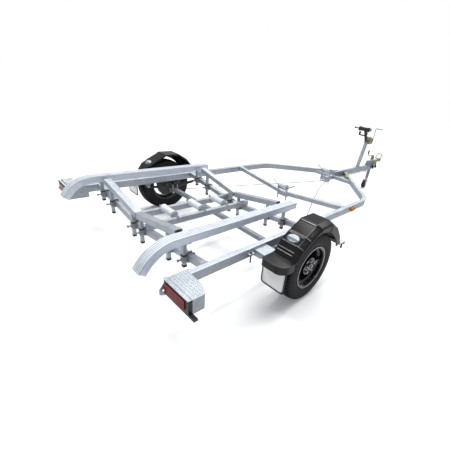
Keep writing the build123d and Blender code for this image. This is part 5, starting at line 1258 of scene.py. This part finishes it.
# ---------------------------------------------------------------- guard brackets
@dataclass
class GuardBracket:
    """The step from the rail to the guard's shelf and the angle stay in front."""

    side: Side
    plate: float = 0.003
    top: float = 0.478
    rear: float = -0.396
    front: float = -0.262
    rail: float = 0.9120
    guard: float = 1.0135
    end: float = 1.0640
    low: float = 0.425
    stay_x: float = 0.3875
    stay_z: float = 0.4055
    stay_size: float = 0.034
    stay_wall: float = 0.004
    stay_end: float = 1.225
    toe: float = 0.498
    turn_down: float = 0.034
    strap_width: float = 0.040

    def step(self) -> Surface:
        """Make the step: a top plate, a rear web and a flange on the rail, each a flat outline pushed.

        Returns:
            The three plates.
        """
        a, b = ahead(self.rear), ahead(self.front)
        tuck = ahead(-0.311)
        rail, guard, under = self.rail, self.guard, self.top - self.plate
        top = np.array([(a, rail), (b, rail), (b, guard), (tuck, guard), (tuck, self.end), (a, self.end)])
        low = self.low
        web = np.array([(rail, under), (rail, low), (guard - 0.04, low), (guard, 0.448), (guard, under)])
        flange = np.array([(0.0, low), (b - a, low), (b - a, under), (0.0, under)])
        return joined([
            prism(top, (0.0, 0.0, under), X, Y, self.plate),
            prism(web, (a, 0.0, 0.0), Y, Z, self.plate),
            prism(flange, (a, rail + self.plate, 0.0), X, Z, self.plate),
        ])

    def angle(self) -> Surface:
        """Make the front stay, an angle section carried from the rail out under the guard.

        Returns:
            The stay.
        """
        size, wall = self.stay_size, self.stay_wall
        outline = np.array([(0.0, size), (0.0, 0.0), (size, 0.0), (size, wall), (wall, wall), (wall, size)])
        corner = (ahead(self.stay_x), self.stay_end, self.stay_z)
        return prism(outline, corner, X, Z, self.stay_end - self.rail)

    def strap(self) -> Surface:
        """Make the bent strap from the end of the front stay to the guard's foot.

        Returns:
            The strap.
        """
        wall, heel, toe = self.stay_wall, ahead(self.stay_x) + self.stay_wall, ahead(self.toe)
        z, low = self.stay_z, self.stay_z - self.turn_down
        outline = np.array([
            (heel, z - wall), (toe, z - wall), (toe, low), (toe + wall, low), (toe + wall, z), (heel, z),
        ])
        return prism(outline, (0.0, self.stay_end, 0.0), X, Z, self.strap_width)

    def stem(self) -> Surface:
        """Make the black rubber stop that hangs from the strap's end, a bead-ended rod.

        Returns:
            The rod and its bead.
        """
        x, y = ahead(self.toe) - 0.012, self.stay_end - self.strap_width / 2.0
        z = self.stay_z - self.stay_wall
        return rod((x, y, z - 0.062), Z, 0.0085, 0.0618, 20) + rod((x, y, z - 0.068), Z, 0.0105, 0.012, 20)

    def clip(self) -> Surface:
        """Make the clip on the rail behind the step, a folded plate.

        Returns:
            The clip without its bolt.
        """
        a, b = ahead(self.rear) - 0.078, ahead(self.rear) - 0.030
        fold = np.array([
            (0.9122, 0.440), (0.9152, 0.440), (0.9152, 0.470), (0.9450, 0.470),
            (0.9450, 0.473), (0.9152, 0.473), (0.9152, 0.499), (0.9122, 0.499),
        ])
        return prism(fold, (a, 0.0, 0.0), Y, Z, b - a)

    def clip_bolt(self) -> Surface:
        """Return the bolt that goes down through the clip, a rod and a head."""
        spot = (ahead(self.rear) - 0.054, 0.9310)
        return rod((*spot, 0.392), Z, 0.0055, 0.078) + bolt((*spot, 0.4732), Z, 0.010)

    def build(self) -> None:
        """Make the brackets' pieces."""
        rows = (
            ("strap", self.strap(), GALVANISED, "galvanised_steel"),
            ("stop", self.stem(), BLACK_RUBBER, "black_rubber"),
            ("clip", self.clip(), GALVANISED, "galvanised_steel"),
            ("clip_bolt", self.clip_bolt(), SPRING_PAINT, "spring_steel"),
            ("step", self.step(), CHEQUER_ZINC, "galvanised_steel", 0.0006),
            ("stay", self.angle(), GALVANISED, "galvanised_steel", 0.0006),
        )
        for name, shell, made, slot, *bevel in rows:
            piece = shell.on(self.side).piece(f"guard_{name}_{self.side.label}", made, slot, 30.0, *bevel)
            if name in ("step", "stay"):
                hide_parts("guard_brackets")


# ---------------------------------------------------------------- tread plate
@dataclass
class TreadPlate:
    """Raised lozenges on the tops of the light boxes and of the guard steps."""

    side: Side
    pitch: float = 0.0185
    long: float = 0.0195
    wide: float = 0.0078
    rise: float = 0.0018
    corners: int = 8
    cells: int = 40
    tops: tuple = (
        ("light_box", 0.503, (
            (-1.068, 0.864), (-0.950, 0.864), (-0.950, 0.912),
            (-0.953, 1.031), (-0.992, 1.113), (-1.068, 1.113),
        )),
        ("lamp", 0.500, (
            (-1.0958, 0.8465), (-1.0702, 0.8465), (-1.0702, 1.1105), (-1.0958, 1.1105),
        )),
        ("step", 0.478, (
            (-0.394, 0.914), (-0.264, 0.914), (-0.264, 1.012), (-0.311, 1.012), (-0.394, 1.012),
        )),
    )

    def lozenge(self) -> Surface:
        """Make one lozenge: a pointed oval foot, let 0.4 mm into the plate, and a smaller one above it.

        At angle t the foot's point is half the length times cos t, and the width times 0.3 sin^3 t + 0.35
        sin t.

        Returns:
            The lozenge, about zero.
        """
        count = self.corners
        t = np.linspace(0.0, TURN, count, endpoint=False)
        across = np.sin(t) ** 3 * 0.3 * self.wide + np.sin(t) * 0.35 * self.wide
        foot = np.stack([np.cos(t) * self.long / 2, across], axis=-1)
        levels = ((foot, -0.0004), (foot * (0.72, 0.45), self.rise))
        points = np.vstack([np.column_stack([line, np.full(count, z)]) for line, z in levels])
        sides = [(i, (i + 1) % count, count + (i + 1) % count, count + i) for i in range(count)]
        return Surface(points, sides + [tuple(range(count))[::-1], tuple(range(count, 2 * count))])

    def inside(self, places: np.ndarray, outline: np.ndarray) -> np.ndarray:
        """Find which places lie inside a convex outline by 0.4 of a lozenge's length.

        Args:
            places: An array of n by 2.
            outline: The outline's corners, anticlockwise, m by 2.

        Returns:
            An array of n truth values.
        """
        run = np.roll(outline, -1, axis=0) - outline
        run /= np.linalg.norm(run, axis=1)[:, None]
        away = places[:, None] - outline[None]
        depth = run[None, :, 0] * away[..., 1] - run[None, :, 1] * away[..., 0]
        return (depth > 0.4 * self.long).all(axis=1)

    def top(self, outline: tuple, z: float) -> Surface:
        """Make the lozenges of one top, on a square grid and turned to and fro by 45 degrees.

        Args:
            outline: Corners of the top, ahead of the axle and to the left.
            z: Its height.

        Returns:
            The surface.
        """
        corners = np.array([(ahead(x), y) for x, y in outline])
        low, high = corners.min(axis=0), corners.max(axis=0)
        i, j = np.meshgrid(np.arange(self.cells), np.arange(self.cells), indexing="ij")
        places = (low + (np.stack([i, j], axis=-1) + 0.5) * self.pitch).reshape(-1, 2)
        turned = ((i + j) % 2).reshape(-1)
        keep = self.inside(places, corners) & (places < high).all(axis=1)
        places, turned = places[keep], turned[keep]
        one = self.lozenge()
        angle = np.where(turned == 0, math.pi / 4, -math.pi / 4)
        cos, sin = np.cos(angle)[:, None], np.sin(angle)[:, None]
        x = places[:, :1] + one.points[None, :, 0] * cos - one.points[None, :, 1] * sin
        y = places[:, 1:] + one.points[None, :, 0] * sin + one.points[None, :, 1] * cos
        points = np.stack([x, y, np.broadcast_to(z + one.points[:, 2], x.shape)], axis=-1).reshape(-1, 3)
        step = len(one.points)
        faces = [tuple(k + n * step for k in face) for n in range(len(places)) for face in one.faces]
        return Surface(points, faces)

    def lamp_cover(self, z: float, outline: tuple) -> Surface:
        """Return the strip of tread plate, 1.8 mm thick, that laps over the tail lamp's housing."""
        (rear, inner), (front, _), (_, outer), _ = outline
        return box((ahead(rear), inner, z - 0.0018), (ahead(front), outer, z))

    def build(self) -> None:
        """Make the strip over the tail lamp and the lozenges of each top."""
        rows = [("lamp_strip", self.lamp_cover(*self.tops[1][1:]), CHEQUER_ZINC)]
        rows += [(name, self.top(outline, z), LOZENGE_ZINC) for name, z, outline in self.tops]
        for name, shell, made in rows:
            shell.on(self.side).piece(f"tread_{name}_{self.side.label}", made, "galvanised_steel", 20.0)


# ---------------------------------------------------------------- posts, fasteners and welds
def cross_height(y: float) -> float:
    """Return a crossmember's height: 475 mm at its ends, falling evenly by 100 mm to its middle."""
    return 0.475 - 0.100 / 0.862 * (0.862 - abs(y))


@dataclass
class PostTrim:
    """Black parts of the post clamps: bands round the crossmembers, collars on the posts, foot caps."""

    side: Side
    crosses: tuple = (-0.810, 0.240)
    posts: tuple = ((0.690, 0.395), (0.485, 0.340), (0.072, 0.285))
    behind: float = 0.0428
    half: float = 0.0125

    def loop(self, half: float, corner: float) -> np.ndarray:
        """Work out a square with rounded corners.

        Args:
            half: Half its width.
            corner: Radius of its corners.

        Returns:
            The closed line, n by 2, anticlockwise.
        """
        turn = np.linspace(0.0, QUARTER, 5)
        corners = []
        for k, signs in enumerate(((1, 1), (-1, 1), (-1, -1), (1, -1))):
            angle = turn + k * QUARTER
            centre = np.array(signs) * (half - corner)
            corners.append(centre + corner * np.stack([np.cos(angle), np.sin(angle)], axis=-1))
        return np.vstack(corners)

    def band(self, x: float, y: float) -> Surface:
        """Make the rubber band round a crossmember, a flat strip carried round its section.

        Args:
            x: The crossmember's place ahead of the axle.
            y: The band's distance from the middle.

        Returns:
            The band.
        """
        line = self.loop(0.0262, 0.004)
        path = np.stack([ahead(x) + line[:, 0], np.full(len(line), y), cross_height(y) + line[:, 1]], axis=-1)
        strip = np.array([(-0.0010, -0.011), (0.0010, -0.011), (0.0010, 0.011), (-0.0010, 0.011)])
        return sweep(strip, path, Y, True)

    def collar(self, x: float, y: float, low: float, high: float, thick: float, under: bool) -> Surface:
        """Make a collar round a post, a strip with a sloping top carried round its section.

        Args:
            x: The post's place ahead of the axle.
            y: Its distance from the middle.
            low: The collar's lower edge.
            high: Its upper edge.
            thick: How far it stands out.
            under: Whether a plate closes it below, as on a foot cap.

        Returns:
            The surface.
        """
        line = self.loop(self.half + thick / 2.0 + 0.0002, 0.003)
        path = np.stack([ahead(x) + line[:, 0], y + line[:, 1], np.full(len(line), low)], axis=-1)
        half, tall = thick / 2.0, high - low
        strip = np.array([(-half, 0.0), (half, 0.0), (half, tall * 0.85), (half * 0.4, tall), (-half, tall)])
        made = sweep(strip, path, Z, True)
        return made + prism(line, (ahead(x), y, low - 0.003), X, Y, 0.0028) if under else made

    def build(self) -> None:
        """Make the trim of every post."""
        sets: dict = {"bands": [], "collars": [], "foot_caps": []}
        for x in self.crosses:
            for y, foot in self.posts:
                back, top = x - self.behind, cross_height(y) + 0.024
                sets["bands"].append(self.band(x, y))
                sets["collars"].append(self.collar(back, y, top + 0.0002, top + 0.009, 0.0055, False))
                sets["foot_caps"].append(self.collar(back, y, foot - 0.0002, foot + 0.014, 0.0022, True))
        for name, shells in sets.items():
            trim = joined(shells).on(self.side)
            trim.piece(f"post_{name}_{self.side.label}", BLACK_RUBBER, "black_rubber")


@dataclass
class Fasteners:
    """Bolts, nuts and weld beads of the frame, by the place ahead of the axle, distance left and height."""

    frame_bolts: tuple = (
        ((-0.953, 0.856, 0.479), (0, -1, 0), 0.010), ((-0.982, 0.856, 0.428), (0, -1, 0), 0.010),
        ((2.950, 0.025, 0.480), (0, 1, 0), 0.012), ((3.550, 0.025, 0.480), (0, 1, 0), 0.012),
        ((3.640, 0.0405, 0.540), (0, 0, 1), 0.008), ((3.810, 0.0405, 0.540), (0, 0, 1), 0.008),
        ((-0.569, 0.142, 0.478), (0, 1, 0), 0.012), ((-0.288, 0.142, 0.478), (0, 1, 0), 0.012),
        ((-0.023, 0.142, 0.478), (0, 1, 0), 0.012),
        ((-0.330, 0.9198, 0.396), (0, 1, 0), 0.012), ((0.330, 0.9198, 0.396), (0, 1, 0), 0.012),
        ((-0.330, 0.8542, 0.396), (0, -1, 0), 0.012), ((0.330, 0.8542, 0.396), (0, -1, 0), 0.012),
        ((-0.0285, 0.8585, 0.2795), (0, 0, -1), 0.010), ((0.0285, 0.8585, 0.2795), (0, 0, -1), 0.010),
        ((-0.0285, 0.9155, 0.2795), (0, 0, -1), 0.010), ((0.0285, 0.9155, 0.2795), (0, 0, -1), 0.010),
        ((0.4215, 1.060, 0.424), (1, 0, 0), 0.008), ((0.4215, 1.180, 0.424), (1, 0, 0), 0.008),
        ((-0.396, 0.945, 0.452), (-1, 0, 0), 0.008), ((-0.396, 0.985, 0.458), (-1, 0, 0), 0.008),
        ((3.050, 0.099, 1.195), (0, 1, 0), 0.012),
    )
    middle_bolts: tuple = (
        ((3.138, 0.0, 0.538), (0, 0, 1), 0.012), ((3.252, 0.0, 0.538), (0, 0, 1), 0.012),
    )
    crosses: tuple = (-0.810, 0.240, 1.080)
    bead: float = 0.0032

    def weld(self, path: np.ndarray, up: tuple) -> Surface:
        """Make a weld bead along a line.

        The line is sampled every 2 mm; the bead's radius is its mean times 1 + 0.18 sin(2 pi s / 6 mm), which
        gives the ripples.

        Args:
            path: Corners of the line, n by 3.
            up: A direction never along the line.

        Returns:
            The surface.
        """
        step = np.concatenate([[0.0], np.cumsum(np.linalg.norm(np.diff(path, axis=0), axis=1))])
        s = np.linspace(0.0, step[-1], max(int(step[-1] / 0.002), 4))
        line = np.stack([np.interp(s, step, path[:, k]) for k in range(3)], axis=-1)
        made = sweep(ring(6, self.bead), line, up)
        centre = np.repeat(line, 6, axis=0)
        swell = np.repeat(1.0 + 0.18 * np.sin(TURN * s / 0.006), 6)[:, None]
        return Surface(centre + (made.points - centre) * swell, made.faces)

    def welds(self) -> Surface:
        """Make the beads that join the left ends of the crossmembers to the rail.

        Returns:
            The beads, each down one side, along below and up the other.
        """
        y, top, low, half = 0.8615, 0.499, 0.4505, 0.0255
        beads = []
        for a, b in ((ahead(x) - half, ahead(x) + half) for x in self.crosses):
            beads.append(self.weld(np.array([(a, y, top), (a, y, low), (b, y, low), (b, y, top)]), Y))
        return joined(beads)

    def foot_weld(self) -> Surface:
        """Make the bead round the foot of the winch post.

        Returns:
            The bead, which starts and ends at the middle of the post's rear.
        """
        x, z, half, out = ahead(3.1915), 0.5385, 0.0262, 0.0252
        corners = ((-half, 0.0), (-half, out), (half, out), (half, -out), (-half, -out), (-half, 0.0))
        return self.weld(np.array([(x + a, b, z) for a, b in corners]), Z)

    def group(self, table: tuple) -> Surface:
        """Return the bolts of a table."""
        return joined([bolt((ahead(x), y, z), axis, size) for (x, y, z), axis, size in table])

    def build(self) -> None:
        """Make the fasteners and the welds."""
        for side in Side:
            bolts, welds = self.group(self.frame_bolts).on(side), self.welds().on(side)
            bolts.piece(f"frame_bolts_{side.label}", PLATED, "plated_steel", 30.0)
            welds.piece(f"frame_welds_{side.label}", DARK_ZINC, "galvanised_steel", 60.0)
        self.group(self.middle_bolts).piece("winch_post_bolts", PLATED, "plated_steel", 30.0)
        self.foot_weld().piece("winch_post_weld", DARK_ZINC, "galvanised_steel", 60.0)


# ---------------------------------------------------------------- front end
@dataclass
class FrontTrim:
    """Small pieces of the bow stop, the coupling and the jockey wheel."""

    roller: tuple = (1.542, 1.195)
    cradle_half: float = 0.062
    cradle_top: float = 1.150
    cradle_base: float = 1.094
    sleeve: tuple = (2.335, 2.505)
    sleeve_radius: float = 0.0345
    sleeve_bore: float = 0.0322
    coupling_axis: float = 0.585
    jockey_grip: tuple = (2.309, 0.1128, 0.701)
    grip_radius: float = 0.0118
    grip_length: float = 0.073
    sockets: tuple = (
        ((3.800, -0.0505, 0.548), (0.30, -0.02, -1.0), 0.095),
        ((3.905, -0.0505, 0.548), (0.55, -0.02, -1.0), 0.095),
    )
    tag_centre: tuple = (2.500, -0.164, 0.5002)
    tag_along: tuple = (0.886, 0.463, 0.0)
    tag_size: tuple = (0.26, 0.044, 0.001)

    def cradle(self) -> Surface:
        """Make the black U below the bow roller, a flat strip carried round its three sides.

        Returns:
            The strip.
        """
        turn = np.linspace(0.0, QUARTER, 6)
        corner, half, base = 0.014, self.cradle_half, self.cradle_base
        across, rise = half - corner + corner * np.cos(-turn), base + corner + corner * np.sin(-turn)
        left = np.stack([across, rise], axis=-1)
        right = left[::-1] * np.array([-1.0, 1.0])
        line = np.vstack([[(half, self.cradle_top)], left, right, [(-half, self.cradle_top)]])
        path = np.stack([np.full(len(line), self.roller[0]), line[:, 0], line[:, 1]], axis=-1)
        strip = np.array([(-0.009, -0.018), (0.009, -0.018), (0.009, 0.018), (-0.009, 0.018)])
        return sweep(strip, path, X)

    def bar(self) -> Surface:
        """Return the bar beside the bow roller, with the knob on its end."""
        x, z = self.roller
        return rod((x, 0.0985, z), Y, 0.0085, 0.070, 20) + rod((x, 0.1600, z), Y, 0.0130, 0.016, 20)

    def gaiter(self) -> Surface:
        """Make the yellow sleeve over the front of the coupling's housing.

        It is turned about the housing's axis: the radius is the sleeve's plus 1.2 mm times the cosine of six
        turns along it, so it shows shallow rolled ridges.

        Returns:
            The sleeve in its place.
        """
        low, high = self.sleeve
        t = np.linspace(0.0, 1.0, 73)
        radius = self.sleeve_radius + 0.0012 * np.cos(6.0 * TURN * t)
        radii = np.concatenate([radius, [self.sleeve_bore, self.sleeve_bore]])
        turned = lathe(np.column_stack([radii, np.concatenate([t, [1.0, 0.0]]) * (high - low)]), 48)
        r, along, z = turned.points.T
        return Surface(np.column_stack([low + along, r, self.coupling_axis + z]), turned.faces).flipped()

    def plug(self, top: tuple, lean: tuple, long: float) -> Surface:
        """Make one parking socket for a plug, a stepped round body along its axis.

        Args:
            top: The point it hangs from.
            lean: The direction of its axis.
            long: Its length.

        Returns:
            The surface.
        """
        way = np.array(lean, dtype=float)
        way /= np.linalg.norm(way)
        first, second = (np.array(v, dtype=float) for v in frame_of(tuple(way)))
        profile = ((0.0, 0.006), (0.10, 0.012), (0.35, 0.015), (0.38, 0.020), (0.90, 0.0215), (1.0, 0.0185))
        sides = 20
        rings = []
        for along, radius in profile:
            circle = ring(sides, radius)
            rings.append(np.array(top) + way * along * long + circle[:, :1] * first + circle[:, 1:] * second)
        body = grid(np.array(rings), around_v=True)
        count = len(body.points)
        ends = [tuple(range(sides))[::-1], tuple(range(count - sides, count))]
        return Surface(body.points, list(body.faces) + ends)

    def grip(self) -> Surface:
        """Make the grip of the jockey wheel's crank, swelling by a tenth at its middle.

        Returns:
            The grip in its place, upright.
        """
        t = np.linspace(0.0, 1.0, 13)
        radius = self.grip_radius * (1.0 + 0.1 * np.sin(math.pi * t))
        radii, along = np.concatenate([[0.0], radius, [0.0]]), np.concatenate([[0.0], t, [1.0]])
        turned = lathe(np.column_stack([radii, along * self.grip_length]), 24)
        return Surface(turned.points[:, (0, 2, 1)], turned.faces).flipped().moved(*self.jockey_grip)

    def tag(self) -> Surface:
        """Make the blank yellow tag on the rail's top, a thin plate with rounded ends.

        Returns:
            The tag in its place.
        """
        long, wide, thick = self.tag_size
        x, y, z = self.tag_centre
        across = (-self.tag_along[1], self.tag_along[0], 0.0)
        outline = rounded(long / 2.0, wide / 2.0, 0.3, 48)
        return prism(outline, (ahead(x), y, z), self.tag_along, across, thick)

    def build(self) -> None:
        """Make the small pieces."""
        plugs = joined([self.plug((ahead(x), y, z), lean, long) for (x, y, z), lean, long in self.sockets])
        rows = (
            ("parking_sockets", plugs, "chassis", BLACK_PLASTIC, "black_plastic"),
            ("rail_tag", self.tag(), "chassis", YELLOW_TAG, "yellow_zinc"),
            ("bow_cradle", self.cradle(), "chassis", BLACK_PLASTIC, "black_plastic"),
            ("bow_bar", self.bar(), "chassis", BLACK_PLASTIC, "black_plastic"),
            ("coupling_sleeve", self.gaiter(), "chassis", YELLOW_ZINC, "yellow_zinc"),
            ("jockey_grip", self.grip(), "jockey_tube", BLACK_PLASTIC, "black_plastic"),
        )
        for name, shell, body, made, slot in rows:
            shell.piece(name, made, slot, 30.0, body=body)


# ---------------------------------------------------------------- dressing of the solid pieces
@dataclass
class SolidFinishes:
    """The finish of each solid piece."""

    table: dict = field(default_factory=lambda: {
        GALVANISED: (
            "rail_left", "rail_right", "crossmembers", "drawbar", "a_frame_crossbar", "keel_arm",
            "keel_beams", "winch_post", "gusset_plates", "tie_down_plates", "keel_guide_brackets",
            "skid_posts", "cross_skids",
        ),
        SKID_ZINC: ("long_skids",),
        CHEQUER_ZINC: ("light_boxes", "guard_brackets"),
        DARK_ZINC: (
            "axle_beam", "spring_hangers", "jockey_tube", "coupling_housing", "jockey_crank", "post_clamps",
        ),
        PLATED: (
            "axle_u_bolts", "roller_pins", "jockey_leg", "brake_rod", "brake_rod_hangers", "jockey_fork",
            "winch_crank",
        ),
        YELLOW_ZINC: ("coupling_head", "winch_frame", "winch_drum"),
        SPRING_PAINT: ("leaf_springs",),
        CAST_IRON: ("brake_callipers", "hub_left", "hub_right"),
        GUARD_BLACK: ("mudguard_left", "mudguard_right"),
        BLACK_ALLOY: ("rim_left", "rim_right"),
        BLACK_RUBBER: ("bow_roller", "mudflaps", "jockey_wheel"),
        BLACK_PLASTIC: ("tail_lamp_housings", "coupling_handle", "bow_stop_bracket", "jockey_clamp"),
        GREY_POLYMER: (
            "skid_caps", "keel_roller_1", "keel_roller_2", "keel_roller_3", "keel_guide_roller_middle",
            "keel_guide_roller_bow",
        ),
        RED_LENS: ("tail_lamp_lenses",),
        AMBER_LENS: ("side_markers",),
        STRAP: ("winch_strap",),
        CABLE_BLACK: ("brake_cables",),
        TYRE_RUBBER: ("tyre_left", "tyre_right"),
    })

    def build(self) -> None:
        """Dress every solid piece."""
        for made, nodes in self.table.items():
            for node in nodes:
                dress(node, made)


def main() -> None:
    """Build the scene."""
    logging.basicConfig(level=logging.INFO, format="%(message)s", force=True)
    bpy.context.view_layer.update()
    studio = Studio()
    studio.camera()
    BrakeCables().build()
    studio.build()
    SolidFinishes().build()
    for side in Side:
        RoadWheel(side).build()
        Guard(side).build()
        GuardBracket(side).build()
        TreadPlate(side).build()
        PostTrim(side).build()
    Fasteners().build()
    FrontTrim().build()


if __name__ == "__main__":
    main()
